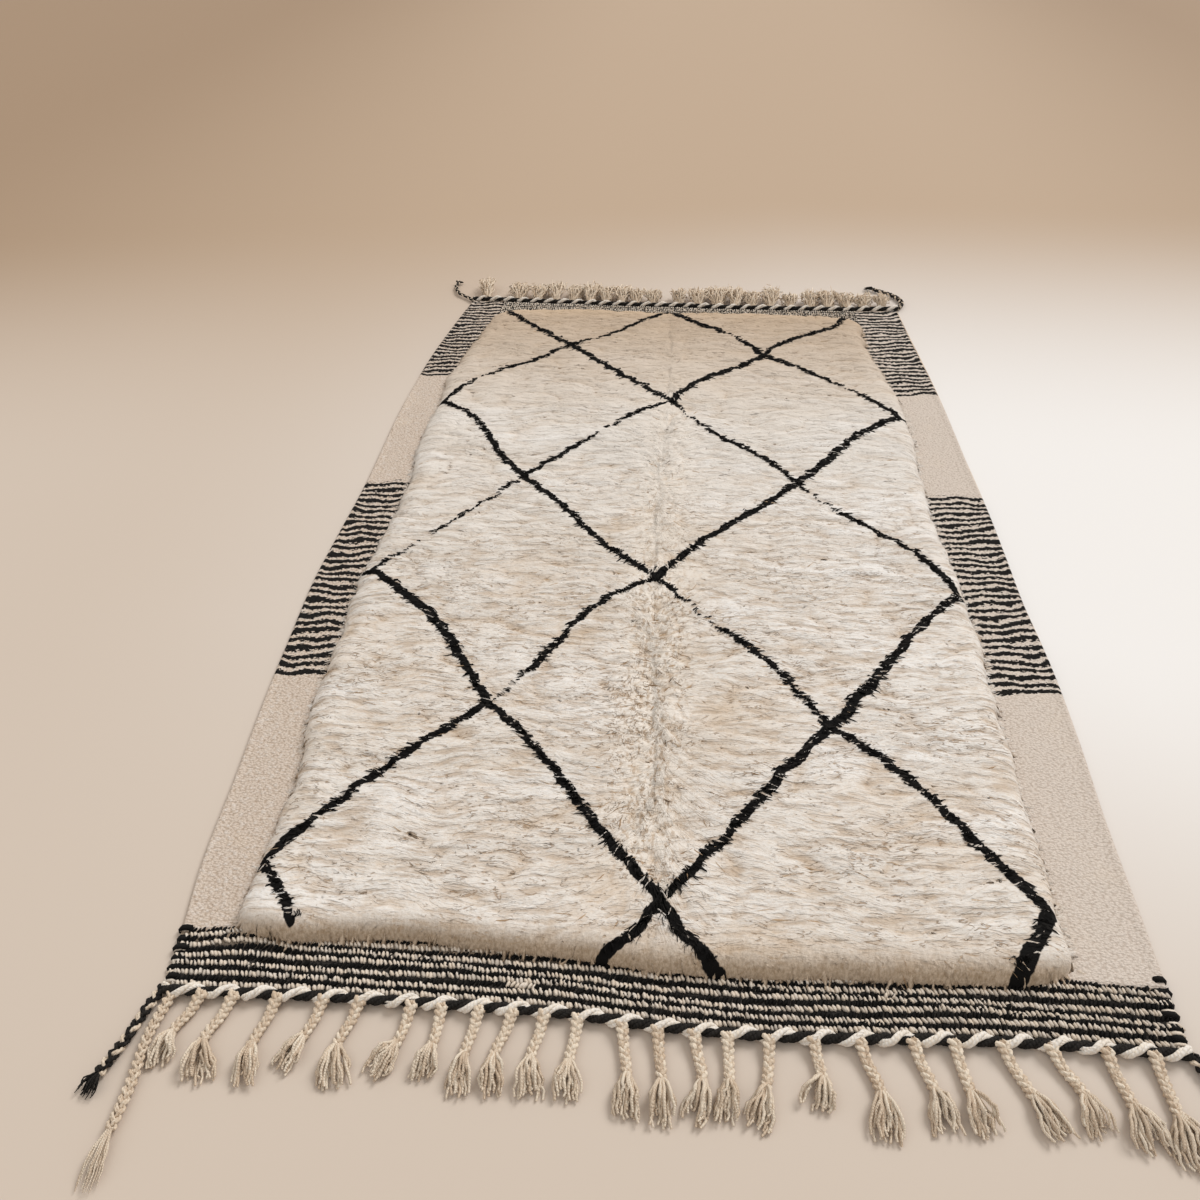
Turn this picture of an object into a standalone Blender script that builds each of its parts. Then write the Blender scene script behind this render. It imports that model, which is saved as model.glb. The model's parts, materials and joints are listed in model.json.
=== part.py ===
"""A hand-knotted pile rug with flat-woven borders, lying flat: the woven rug, the twined cord
along each end, the two fringes and the plaits at its corners.

Metres, +Z up. The rug's length runs along Y, its near end at -Y, and its underside is the plane Z = 0.
"""

import math

import bmesh
import bpy
import numpy as np
from mathutils import Vector

GROUND = 0.005  # thickness of the flat weave
SELVEDGE = 0.0075  # thickness of the corded side edges
SELVEDGE_RIM = 0.004  # height of a woven edge at its very rim
PILE = 0.032  # mean height of the pile's top above the floor
PILE_SWELL = 0.0015  # how far the pile's top swells above and below that
PILE_CORNER = 0.028  # rounding of the pile field's corners, in plan
FLOOR_GAP = 0.0004  # clearance of the trimmings over the floor
GAP = 0.0006  # clearance between neighbouring pieces

RIM_INSETS = (0.0, 0.004, 0.010)  # the grid's first lines in from a woven edge
INNER_COLUMNS = 10
INNER_ROWS = 26
SWELLS = (
    # turns per metre along X and along Y, phase, weight
    (0.83, 0.32, 0.6, 1.0),
    (-0.49, 1.03, 0.0, 0.8),
    (1.75, 0.00, 1.0, 0.6),
)

# The pile's edge: how far it has risen at each distance in from its foot.
PILE_PROFILE = (
    # inset, share of the rise
    (0.000, 0.00),
    (0.001, 0.50),
    (0.006, 0.85),
    (0.016, 1.00),
)

# The long edges, as X at each Y: the selvedges and the feet of the pile.
SIDE_COLUMNS = ("y", "left_selvedge", "left_foot", "right_foot", "right_selvedge")
SIDE_ROWS = (
    (-1.01, -0.552, -0.495, 0.455, 0.550),
    (-0.94, -0.563, -0.495, 0.455, 0.554),
    (-0.85, -0.577, -0.490, 0.455, 0.557),
    (-0.70, -0.588, -0.492, 0.453, 0.560),
    (-0.55, -0.600, -0.513, 0.460, 0.567),
    (-0.40, -0.608, -0.517, 0.466, 0.570),
    (-0.25, -0.615, -0.524, 0.463, 0.566),
    (-0.10, -0.612, -0.514, 0.457, 0.568),
    (0.05, -0.608, -0.512, 0.455, 0.569),
    (0.20, -0.610, -0.524, 0.462, 0.566),
    (0.35, -0.612, -0.523, 0.469, 0.565),
    (0.50, -0.608, -0.526, 0.453, 0.562),
    (0.65, -0.600, -0.507, 0.432, 0.556),
    (0.80, -0.585, -0.485, 0.430, 0.549),
    (1.00, -0.560, -0.470, 0.430, 0.542),
)

# The short edges, as Y at each X: the woven ends and the feet of the pile.
END_COLUMNS = ("x", "near_woven", "near_foot", "far_foot", "far_woven")
END_ROWS = (
    (-0.60, -1.000, -0.932, 0.855, 0.996),
    (-0.50, -1.000, -0.932, 0.860, 0.992),
    (-0.40, -0.998, -0.938, 0.872, 0.980),
    (-0.30, -0.998, -0.930, 0.878, 0.972),
    (-0.20, -0.999, -0.936, 0.872, 0.962),
    (-0.10, -1.001, -0.942, 0.862, 0.954),
    (0.00, -1.009, -0.953, 0.855, 0.949),
    (0.10, -1.013, -0.955, 0.852, 0.939),
    (0.20, -1.011, -0.950, 0.850, 0.933),
    (0.30, -1.006, -0.948, 0.840, 0.929),
    (0.40, -1.004, -0.944, 0.826, 0.925),
    (0.50, -1.006, -0.924, 0.815, 0.927),
    (0.60, -1.008, -0.920, 0.810, 0.930),
)

# Twined end cords: two yarns, one black and one ivory, wrapped round the warp ends.
CORD_WIDTH = 0.014
CORD_HEIGHT = 0.011
CORD_WAIST = 0.88  # how far it narrows between two turns
CORD_SIDES = 6
PLAIT_SIDES = 8
NEAR_TURNS = 27
FAR_TURNS = 30

# Fringes: the comb's bar lies against the cord, and its fingers are the plaits, tassels and tufts.
NEAR_BAR = (-0.520, 0.530)  # X at which each bar starts and stops
FAR_BAR = (-0.535, 0.525)
BAR_DEPTH = 0.004
BAR_HEIGHT = 0.008
ROOT_HALF_WIDTH = 0.005
NEAR_FINGERS = (
    # root x, plait lean, tassel lean, reach, tassel half width
    (-0.505, -0.018, 0.004, 0.074, 0.010),
    (-0.468, -0.018, 0.014, 0.090, 0.014),
    (-0.418, -0.012, 0.004, 0.090, 0.012),
    (-0.366, -0.010, -0.018, 0.070, 0.011),
    (-0.325, -0.014, 0.010, 0.085, 0.013),
    (-0.267, -0.006, -0.020, 0.072, 0.011),
    (-0.233, -0.002, -0.006, 0.072, 0.010),
    (-0.192, -0.008, 0.000, 0.085, 0.011),
    (-0.155, -0.014, 0.006, 0.082, 0.010),
    (-0.120, -0.010, 0.004, 0.080, 0.011),
    (-0.083, -0.006, 0.003, 0.080, 0.011),
    (-0.035, 0.008, 0.004, 0.090, 0.012),
    (0.003, 0.006, 0.002, 0.092, 0.010),
    (0.042, 0.010, -0.012, 0.085, 0.010),
    (0.077, 0.001, -0.004, 0.080, 0.009),
    (0.120, -0.004, -0.014, 0.085, 0.011),
    (0.167, 0.006, -0.010, 0.062, 0.013),
    (0.215, 0.016, -0.004, 0.088, 0.013),
    (0.270, 0.014, 0.006, 0.082, 0.012),
    (0.312, 0.007, 0.012, 0.085, 0.012),
    (0.361, 0.018, 0.022, 0.085, 0.010),
    (0.410, 0.022, 0.008, 0.080, 0.012),
    (0.465, 0.010, 0.010, 0.092, 0.014),
    (0.512, 0.004, 0.006, 0.105, 0.015),
)
PLAIT_SECTIONS = (
    # share of the reach, share of the plait's lean, share of the tassel's lean, half width, half height
    (0.16, 0.30, 0.0, 0.0052, 0.0048),
    (0.48, 1.00, 0.0, 0.0056, 0.0050),
    (0.60, 1.00, 0.2, 0.0075, 0.0058),
)
TASSEL_SECTIONS = (
    # share of the reach, share of the tassel's lean, share of its half width, half height
    (0.80, 0.6, 0.85, 0.0055),
    (1.00, 1.0, 1.00, 0.0035),
)

FAR_FINGERS = (
    # root x, lean, reach, half width
    (-0.520, -0.020, 0.110, 0.013),
    (-0.435, -0.002, 0.090, 0.021),
    (-0.385, 0.004, 0.088, 0.019),
    (-0.335, -0.004, 0.090, 0.018),
    (-0.290, 0.006, 0.082, 0.017),
    (-0.245, 0.004, 0.090, 0.017),
    (-0.200, -0.004, 0.080, 0.016),
    (-0.160, 0.004, 0.088, 0.015),
    (-0.120, -0.003, 0.092, 0.015),
    (-0.078, 0.002, 0.082, 0.014),
    (-0.010, -0.002, 0.086, 0.014),
    (0.040, 0.004, 0.096, 0.022),
    (0.090, 0.000, 0.092, 0.020),
    (0.135, 0.002, 0.094, 0.017),
    (0.178, -0.002, 0.078, 0.016),
    (0.225, 0.002, 0.100, 0.018),
    (0.275, -0.002, 0.070, 0.016),
    (0.325, 0.002, 0.078, 0.018),
    (0.370, 0.002, 0.086, 0.018),
    (0.415, 0.000, 0.084, 0.018),
    (0.460, -0.002, 0.066, 0.018),
    (0.503, -0.004, 0.058, 0.015),
)
TUFT_SECTIONS = (
    # share of the reach, share of the half width, half height
    (0.20, 0.55, 0.0075),
    (0.60, 1.00, 0.0110),
    (1.00, 0.90, 0.0060),
)

# Corner plaits and tails: x, y, half width and half height of each section on the way over the floor.
CORNER_PIECES = {
    "near_left_plait": (
        (-0.558, -1.016, 0.0070, 0.0060),
        (-0.562, -1.045, 0.0080, 0.0065),
        (-0.572, -1.080, 0.0080, 0.0065),
        (-0.581, -1.105, 0.0090, 0.0060),
        (-0.588, -1.136, 0.0110, 0.0035),
    ),
    "near_left_tail": (
        (-0.541, -1.026, 0.0065, 0.0060),
        (-0.545, -1.060, 0.0070, 0.0060),
        (-0.541, -1.110, 0.0070, 0.0060),
        (-0.541, -1.155, 0.0070, 0.0060),
        (-0.536, -1.185, 0.0110, 0.0065),
        (-0.526, -1.226, 0.0150, 0.0035),
    ),
    "near_right_plait": (
        (0.556, -1.024, 0.0070, 0.0060),
        (0.563, -1.050, 0.0080, 0.0065),
        (0.573, -1.085, 0.0080, 0.0065),
        (0.583, -1.110, 0.0090, 0.0060),
        (0.592, -1.138, 0.0110, 0.0035),
    ),
    "far_left_tail": (
        (-0.568, 0.998, 0.0055, 0.0050),
        (-0.582, 1.018, 0.0050, 0.0050),
        (-0.606, 1.042, 0.0045, 0.0045),
        (-0.620, 1.075, 0.0045, 0.0045),
        (-0.624, 1.100, 0.0070, 0.0065),
        (-0.622, 1.125, 0.0050, 0.0050),
    ),
    "far_right_plait": (
        (0.553, 0.944, 0.0060, 0.0055),
        (0.560, 0.975, 0.0065, 0.0060),
        (0.552, 1.010, 0.0065, 0.0060),
        (0.528, 1.042, 0.0060, 0.0060),
        (0.500, 1.066, 0.0065, 0.0060),
        (0.478, 1.090, 0.0075, 0.0050),
    ),
}

MATERIALS = {
    # part: colour, roughness, metallic
    "rug_body": ((0.70, 0.62, 0.52), 0.95, 0.0),
    "near_cord": ((0.05, 0.05, 0.055), 0.90, 0.0),
    "far_cord": ((0.05, 0.05, 0.055), 0.90, 0.0),
    "near_fringe": ((0.66, 0.56, 0.43), 0.92, 0.0),
    "far_fringe": ((0.52, 0.42, 0.30), 0.92, 0.0),
    "near_left_plait": ((0.06, 0.06, 0.065), 0.90, 0.0),
    "near_left_tail": ((0.66, 0.56, 0.43), 0.92, 0.0),
    "near_right_plait": ((0.06, 0.06, 0.065), 0.90, 0.0),
    "far_left_tail": ((0.22, 0.18, 0.14), 0.90, 0.0),
    "far_right_plait": ((0.06, 0.06, 0.065), 0.90, 0.0),
}


def column(names, rows, name):
    """One named column of a table."""
    return [row[names.index(name)] for row in rows]


def smooth(keys, values):
    """A smooth function through a table's values, level in slope with its neighbours at each key."""
    slopes = np.gradient(np.array(values), np.array(keys))

    def at(position):
        i = int(np.clip(np.searchsorted(keys, position) - 1, 0, len(keys) - 2))
        span = keys[i + 1] - keys[i]
        t = min(max((position - keys[i]) / span, 0.0), 1.0)
        rise = values[i + 1] - values[i]
        first, second = slopes[i] * span, slopes[i + 1] * span
        square = 3 * rise - 2 * first - second
        cube = first + second - 2 * rise
        return values[i] + first * t + square * t**2 + cube * t**3

    return at


def edge_curves(names, rows):
    """A smooth function for each of a table's columns but the first, by name."""
    keys = column(names, rows, names[0])
    return {name: smooth(keys, column(names, rows, name)) for name in names[1:]}


SIDES = edge_curves(SIDE_COLUMNS, SIDE_ROWS)
ENDS = edge_curves(END_COLUMNS, END_ROWS)


def pile_inset(x, y):
    """How far a point lies inside the pile's foot, round its corners. It is negative outside."""
    across = min(x - SIDES["left_foot"](y), SIDES["right_foot"](y) - x)
    along = min(y - ENDS["near_foot"](x), ENDS["far_foot"](x) - y)
    if across >= PILE_CORNER or along >= PILE_CORNER:
        return min(across, along)
    return PILE_CORNER - math.hypot(PILE_CORNER - across, PILE_CORNER - along)


def pile_top(x, y):
    """The pile's own top, with its slow swells."""
    swell, most = 0.0, 0.0
    for turns_x, turns_y, phase, weight in SWELLS:
        swell += weight * math.sin(2 * math.pi * (turns_x * x + turns_y * y) + phase)
        most += weight
    return PILE + PILE_SWELL * swell / most


def upper_surface(x, y):
    """Height of the rug's upper surface, away from its selvedges."""
    share = np.interp(pile_inset(x, y), *zip(*PILE_PROFILE))
    return GROUND + share * (pile_top(x, y) - GROUND)


def stations(low_edge, low_foot, high_foot, high_edge, inner):
    """Positions across the rug from one woven edge to the other: edge, band, pile edge, pile and back."""
    insets = [inset for inset, _ in PILE_PROFILE]
    low = [low_edge + rim for rim in RIM_INSETS] + [(low_edge + low_foot) / 2]
    low += [low_foot + inset for inset in insets]
    high = [high_edge - rim for rim in RIM_INSETS] + [(high_edge + high_foot) / 2]
    high += [high_foot - inset for inset in insets]
    between = np.linspace(low[-1], high[-1], inner + 2)[1:-1]
    return low + list(between) + high[::-1]


def columns_at(y):
    """The X of each column of the rug's grid at this Y."""
    edges = [SIDES[name](y) for name in ("left_selvedge", "left_foot", "right_foot", "right_selvedge")]
    return stations(*edges, INNER_COLUMNS)


def rows_at(x):
    """The Y of each row of the rug's grid at this X."""
    edges = [ENDS[name](x) for name in ("near_woven", "near_foot", "far_foot", "far_woven")]
    return stations(*edges, INNER_ROWS)


def grid_point(i, j):
    """Where column i crosses row j."""
    y = rows_at(0.0)[j]
    for _ in range(4):
        x = columns_at(y)[i]
        y = rows_at(x)[j]
    return x, y


def grid_height(i, j, x, y, last_column, last_row):
    """Height of the upper surface at a crossing: low at the rim, thick over the side cords."""
    rim = min(i, last_column - i, j, last_row - j)
    if rim == 0:
        return SELVEDGE_RIM
    if min(i, last_column - i) == 1:
        return SELVEDGE
    return upper_surface(x, y)


def material_for(name):
    """The part's own Principled material."""
    colour, roughness, metallic = MATERIALS[name]
    material = bpy.data.materials.new(name + "_wool")
    material.use_nodes = True
    shader = material.node_tree.nodes["Principled BSDF"]
    shader.inputs["Base Color"].default_value = (*colour, 1.0)
    shader.inputs["Roughness"].default_value = roughness
    shader.inputs["Metallic"].default_value = metallic
    return material


def finish_mesh(name, bm, sharp_angle=math.radians(50)):
    """Turns the bmesh into a named object with outward faces, smooth shading and its material."""
    bmesh.ops.recalc_face_normals(bm, faces=bm.faces)
    mesh = bpy.data.meshes.new(name)
    bm.to_mesh(mesh)
    bm.free()
    mesh.shade_smooth()
    mesh.set_sharp_from_angle(angle=sharp_angle)
    part = bpy.data.objects.new(name, mesh)
    part.data.materials.append(material_for(name))
    bpy.context.scene.collection.objects.link(part)
    return part


def bridge(bm, first, second):
    """Quads between two closed rings of as many vertices."""
    for k in range(len(first)):
        n = (k + 1) % len(first)
        bm.faces.new((first[k], first[n], second[n], second[k]))


def rug_body():
    """The woven rug as one solid: flat below, and stepped up from the flat weave to the pile above."""
    bm = bmesh.new()
    last_column = len(columns_at(0.0)) - 1
    last_row = len(rows_at(0.0)) - 1
    top = []
    for j in range(last_row + 1):
        row = []
        for i in range(last_column + 1):
            x, y = grid_point(i, j)
            row.append(bm.verts.new((x, y, grid_height(i, j, x, y, last_column, last_row))))
        top.append(row)
    for j in range(last_row):
        for i in range(last_column):
            bm.faces.new((top[j][i], top[j][i + 1], top[j + 1][i + 1], top[j + 1][i]))
    rim = top[0] + [row[-1] for row in top[1:]] + top[-1][-2::-1] + [row[0] for row in top[-2:0:-1]]
    floor = [bm.verts.new((v.co.x, v.co.y, 0.0)) for v in rim]
    bridge(bm, rim, floor)
    bm.faces.new(floor)
    return finish_mesh("rug_body", bm)


def ring(bm, centre, direction, half_width, half_height, sides):
    """A ring of vertices round the way's direction, wide along the floor and half_height high."""
    aside = Vector((direction.y, -direction.x, 0.0)).normalized()
    vertices = []
    for k in range(sides):
        angle = 2 * math.pi * (k + 0.5) / sides
        offset = aside * (half_width * math.cos(angle)) + Vector((0, 0, half_height * math.sin(angle)))
        vertices.append(bm.verts.new(centre + offset))
    return vertices


def tube(name, sections, sides):
    """A closed tube through (centre, half width, half height) sections."""
    bm = bmesh.new()
    centres = [section[0] for section in sections]
    rings = []
    for k, (centre, half_width, half_height) in enumerate(sections):
        direction = centres[min(k + 1, len(centres) - 1)] - centres[max(k - 1, 0)]
        rings.append(ring(bm, centre, direction, half_width, half_height, sides))
    for first, second in zip(rings, rings[1:]):
        bridge(bm, first, second)
    bm.faces.new(rings[0])
    bm.faces.new(rings[-1])
    return finish_mesh(name, bm)


def end_cord(name, woven_edge, outward, turns):
    """The twined cord just outside a woven end. It swells at each turn and narrows between two."""
    offset = outward * (GAP + CORD_WIDTH / 2)
    start, stop = end_span(woven_edge)
    sections = []
    for k in range(2 * turns + 1):
        x = start + (stop - start) * k / (2 * turns)
        swell = 1.0 if k % 2 else CORD_WAIST
        centre = Vector((x, woven_edge(x) + offset, FLOOR_GAP + CORD_HEIGHT / 2))
        sections.append((centre, CORD_WIDTH / 2 * swell, CORD_HEIGHT / 2 * swell))
    return tube(name, sections, CORD_SIDES)


def end_span(woven_edge):
    """The X at which a woven end starts and stops."""
    left, right = -0.5, 0.5
    for _ in range(4):
        left = SIDES["left_selvedge"](woven_edge(left))
        right = SIDES["right_selvedge"](woven_edge(right))
    return left, right


def near_sections(finger, root_y):
    """The sections of one near plait and its tassel, as centre, half width and half height."""
    root, plait_lean, tassel_lean, reach, half_width = finger
    for share, plait_share, tassel_share, width, height in PLAIT_SECTIONS:
        x = root + plait_lean * plait_share + tassel_lean * tassel_share
        yield Vector((x, root_y - reach * share, FLOOR_GAP + height)), width, height
    for share, tassel_share, width_share, height in TASSEL_SECTIONS:
        x = root + plait_lean + tassel_lean * tassel_share
        yield Vector((x, root_y - reach * share, FLOOR_GAP + height)), half_width * width_share, height


def far_sections(finger, root_y):
    """The sections of one far tuft, as centre, half width and half height."""
    root, lean, reach, half_width = finger
    for share, width_share, height in TUFT_SECTIONS:
        centre = Vector((root + lean * share, root_y + reach * share, FLOOR_GAP + height))
        yield centre, half_width * width_share, height


def finger_ring(bm, centre, direction, half_width, half_height):
    """Eight vertices in the order of a root's rim: along its top, down, back along its foot and up."""
    aside = Vector((abs(direction.y), -direction.x * math.copysign(1, direction.y), 0.0)).normalized()
    vertices = []
    for eighths in (3, 2, 1, 0, -1, -2, -3, 4):
        angle = math.pi * eighths / 4
        offset = aside * (half_width * math.cos(angle)) + Vector((0, 0, half_height * math.sin(angle)))
        vertices.append(bm.verts.new(centre + offset))
    return vertices


def comb(name, woven_edge, outward, fingers, sections_of, ends):
    """A fringe as one solid: a bar along the cord, with a finger growing out of it at each root."""
    bm = bmesh.new()
    back_offset = outward * (GAP + CORD_WIDTH + GAP)
    front_offset = back_offset + outward * BAR_DEPTH
    places = [ends[0]]
    for finger in fingers:
        places += [finger[0] - ROOT_HALF_WIDTH, finger[0], finger[0] + ROOT_HALF_WIDTH]
    places.append(ends[1])
    heights = (FLOOR_GAP, FLOOR_GAP + BAR_HEIGHT / 2, FLOOR_GAP + BAR_HEIGHT)
    back, front = [], []
    for x in places:
        y = woven_edge(x)
        back.append([bm.verts.new((x, y + back_offset, z)) for z in (heights[0], heights[2])])
        front.append([bm.verts.new((x, y + front_offset, z)) for z in heights])
    for k in range(len(places) - 1):
        n = k + 1
        bm.faces.new((back[k][0], back[n][0], back[n][1], back[k][1]))
        bm.faces.new((back[k][1], back[n][1], front[n][2], front[k][2]))
        bm.faces.new((back[k][0], front[k][0], front[n][0], back[n][0]))
        if k % 3 == 0:
            bm.faces.new((front[k][0], front[k][1], front[n][1], front[n][0]))
            bm.faces.new((front[k][1], front[k][2], front[n][2], front[n][1]))
    for station in (0, -1):
        bm.faces.new([back[station][0], back[station][1], *reversed(front[station])])
    for number, finger in enumerate(fingers):
        left, middle, right = front[3 * number + 1 : 3 * number + 4]
        rim = [left[2], middle[2], right[2], right[1], right[0], middle[0], left[0], left[1]]
        root_y = woven_edge(finger[0]) + front_offset
        behind = Vector((finger[0], root_y, 0.0))
        for centre, half_width, half_height in sections_of(finger, root_y):
            direction = centre - behind
            here = finger_ring(bm, centre, direction, half_width, half_height)
            bridge(bm, rim, here)
            rim, behind = here, centre
        bm.faces.new(rim)
    return finish_mesh(name, bm)


def corner_piece(name, rows):
    """A plait or tail lying on the floor from one of the rug's corners."""
    sections = []
    for x, y, half_width, half_height in rows:
        sections.append((Vector((x, y, FLOOR_GAP + half_height)), half_width, half_height))
    return tube(name, sections, PLAIT_SIDES)


def clear_scene():
    """Removes whatever the scene starts with."""
    for obj in list(bpy.data.objects):
        bpy.data.objects.remove(obj)


def main():
    clear_scene()
    rug_body()
    end_cord("near_cord", ENDS["near_woven"], -1, NEAR_TURNS)
    end_cord("far_cord", ENDS["far_woven"], 1, FAR_TURNS)
    comb("near_fringe", ENDS["near_woven"], -1, NEAR_FINGERS, near_sections, NEAR_BAR)
    comb("far_fringe", ENDS["far_woven"], 1, FAR_FINGERS, far_sections, FAR_BAR)
    for name, rows in CORNER_PIECES.items():
        corner_piece(name, rows)


main()
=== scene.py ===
"""A hand-knotted pile rug with flat-woven borders, lying flat: its wool pile with a lozenge
lattice, the woven borders, the twined cord along each end, two fringes and the plaits at its
corners.

Metres, +Z up. The rug's length runs along Y, its near end at -Y, and its underside is Z = 0.
"""

import json
import math

import bmesh
import bpy
import numpy as np
from mathutils import Matrix, Vector

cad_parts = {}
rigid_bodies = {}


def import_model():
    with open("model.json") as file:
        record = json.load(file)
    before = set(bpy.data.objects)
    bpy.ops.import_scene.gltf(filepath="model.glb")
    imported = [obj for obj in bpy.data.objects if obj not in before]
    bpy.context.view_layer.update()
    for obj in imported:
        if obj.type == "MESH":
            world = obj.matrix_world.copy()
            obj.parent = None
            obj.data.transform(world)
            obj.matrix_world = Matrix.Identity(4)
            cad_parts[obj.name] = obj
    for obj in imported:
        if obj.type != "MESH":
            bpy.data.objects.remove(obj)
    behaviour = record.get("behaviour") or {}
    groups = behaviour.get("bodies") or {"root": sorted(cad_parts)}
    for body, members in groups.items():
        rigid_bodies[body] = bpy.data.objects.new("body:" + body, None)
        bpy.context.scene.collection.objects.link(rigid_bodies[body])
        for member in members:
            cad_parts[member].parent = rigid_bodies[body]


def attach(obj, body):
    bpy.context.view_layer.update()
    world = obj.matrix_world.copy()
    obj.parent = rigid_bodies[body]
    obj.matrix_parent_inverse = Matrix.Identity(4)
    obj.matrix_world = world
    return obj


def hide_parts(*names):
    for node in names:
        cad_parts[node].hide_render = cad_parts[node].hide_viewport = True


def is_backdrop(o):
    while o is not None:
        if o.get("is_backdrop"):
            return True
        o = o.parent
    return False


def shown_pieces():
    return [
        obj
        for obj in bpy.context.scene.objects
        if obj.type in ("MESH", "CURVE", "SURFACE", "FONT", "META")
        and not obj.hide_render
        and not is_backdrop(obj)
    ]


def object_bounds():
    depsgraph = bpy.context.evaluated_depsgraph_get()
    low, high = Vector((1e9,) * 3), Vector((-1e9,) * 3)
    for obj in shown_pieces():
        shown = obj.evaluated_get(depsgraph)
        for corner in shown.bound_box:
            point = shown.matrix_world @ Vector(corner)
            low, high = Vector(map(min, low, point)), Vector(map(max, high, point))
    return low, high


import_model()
CAD_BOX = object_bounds()

bl_info = {
    "name": "Lozenge Pile Rug",
    "version": (1, 0, 0),
    "blender": (4, 5, 0),
    "location": "3D View > Sidebar > Rug",
    "description": "Makes a hand-knotted pile rug with flat-woven borders, cords and fringes",
    "category": "Object",
}

GROUND = 0.005  # thickness of the flat weave
SELVEDGE = 0.0075  # thickness of the corded side edges
PILE = 0.032  # mean height of the pile's top above the floor
PILE_SWELL = 0.0015  # how far the pile's top swells above and below that
PILE_CORNER = 0.028  # rounding of the pile field's corners, in plan
SIDE_ROUNDING_SHARE = 0.70  # how much steeper the pile falls at its ends than at its sides
FLOOR_GAP = 0.0004  # clearance of the trimmings over the floor
GAP = 0.0006  # clearance between neighbouring pieces
CORD_WIDTH = 0.014
CORD_HEIGHT = 0.011
BAR_DEPTH = 0.004  # from the cord to the roots of the fringe

GROUND_SHEET = (0.0042, 0.0002)  # Z of the woven ground's top and underside
GROUND_START, GROUND_LENGTH = -1.00, 1.96  # roughly, before its ends are fitted
FIELD_START, FIELD_WIDTH, FIELD_LENGTH = -0.94, 0.97, 1.80  # the pile, roughly as well
BED_RIM = np.array([0.0, 0.0005, 0.0018, 0.004, 0.007, 0.011, 0.0155])  # steps in from its foot
WARP_PITCH = 0.0058
WEFT_PITCH = 0.0029
COMB_STEP_X, COMB_STEP_Y = 0.005, 0.004  # steps of the table of combed strands
COMB_TURNED = 1.08  # where the strands to the right of the parting are counted from
PILE_SPLITS = (-1.0, -0.19, 0.13, 1.0)  # the X at which the loose locks are split into pieces
CALM_BEYOND = (-0.35, 0.20)  # the Y from which the wool gets smoother, and where it is smooth

SWELLS = (
    # turns per metre along X and along Y, phase, weight
    (0.83, 0.32, 0.6, 1.0),
    (-0.49, 1.03, 0.0, 0.8),
    (1.75, 0.00, 1.0, 0.6),
)

# The long edges, as X at each Y: the selvedges and the feet of the pile.
SIDE_COLUMNS = ("y", "left_selvedge", "left_foot", "right_foot", "right_selvedge")
SIDE_ROWS = (
    (-1.01, -0.552, -0.495, 0.455, 0.550),
    (-0.94, -0.563, -0.495, 0.455, 0.554),
    (-0.85, -0.577, -0.490, 0.455, 0.557),
    (-0.70, -0.588, -0.492, 0.453, 0.560),
    (-0.55, -0.600, -0.513, 0.460, 0.567),
    (-0.40, -0.608, -0.517, 0.466, 0.570),
    (-0.25, -0.615, -0.524, 0.463, 0.566),
    (-0.10, -0.612, -0.514, 0.457, 0.568),
    (0.05, -0.608, -0.512, 0.455, 0.569),
    (0.20, -0.610, -0.524, 0.462, 0.566),
    (0.35, -0.612, -0.523, 0.469, 0.565),
    (0.50, -0.608, -0.526, 0.453, 0.562),
    (0.65, -0.600, -0.507, 0.432, 0.556),
    (0.80, -0.585, -0.485, 0.430, 0.549),
    (1.00, -0.560, -0.470, 0.430, 0.542),
)

# The short edges, as Y at each X: the woven ends and the feet of the pile.
END_COLUMNS = ("x", "near_woven", "near_foot", "far_foot", "far_woven")
END_ROWS = (
    (-0.60, -1.000, -0.932, 0.855, 0.996),
    (-0.50, -1.000, -0.932, 0.860, 0.992),
    (-0.40, -0.998, -0.938, 0.872, 0.980),
    (-0.30, -0.998, -0.930, 0.878, 0.972),
    (-0.20, -0.999, -0.936, 0.872, 0.962),
    (-0.10, -1.001, -0.942, 0.862, 0.954),
    (0.00, -1.009, -0.953, 0.855, 0.949),
    (0.10, -1.013, -0.955, 0.852, 0.939),
    (0.20, -1.011, -0.950, 0.850, 0.933),
    (0.30, -1.006, -0.948, 0.840, 0.929),
    (0.40, -1.004, -0.944, 0.826, 0.925),
    (0.50, -1.006, -0.924, 0.815, 0.927),
    (0.60, -1.008, -0.920, 0.810, 0.930),
)

# The lozenge lattice: where its lines cross or turn.
KNOTS = {
    # knot: x, y
    "middle_1": (0.000, -0.875),
    "middle_2": (-0.025, -0.250),
    "middle_3": (-0.015, 0.375),
    "middle_4": (-0.030, 0.855),
    "left_1": (-0.255, -0.555),
    "left_2": (-0.290, 0.065),
    "left_3": (-0.260, 0.660),
    "right_1": (0.225, -0.585),
    "right_2": (0.225, 0.050),
    "right_3": (0.190, 0.605),
    "left_rim_1": (-0.488, -0.845),
    "left_rim_2": (-0.505, -0.250),
    "left_rim_3": (-0.510, 0.370),
    "left_rim_4": (-0.450, 0.860),
    "right_rim_1": (0.445, -0.865),
    "right_rim_2": (0.455, -0.280),
    "right_rim_3": (0.455, 0.315),
    "right_rim_4": (0.395, 0.815),
    "left_foot": (-0.425, -0.925),
    "middle_left_foot": (-0.074, -0.952),
    "middle_right_foot": (0.072, -0.957),
    "right_foot": (0.390, -0.945),
    "left_spur": (-0.530, -0.252),
    "right_spur": (0.468, 0.310),
}
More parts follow.
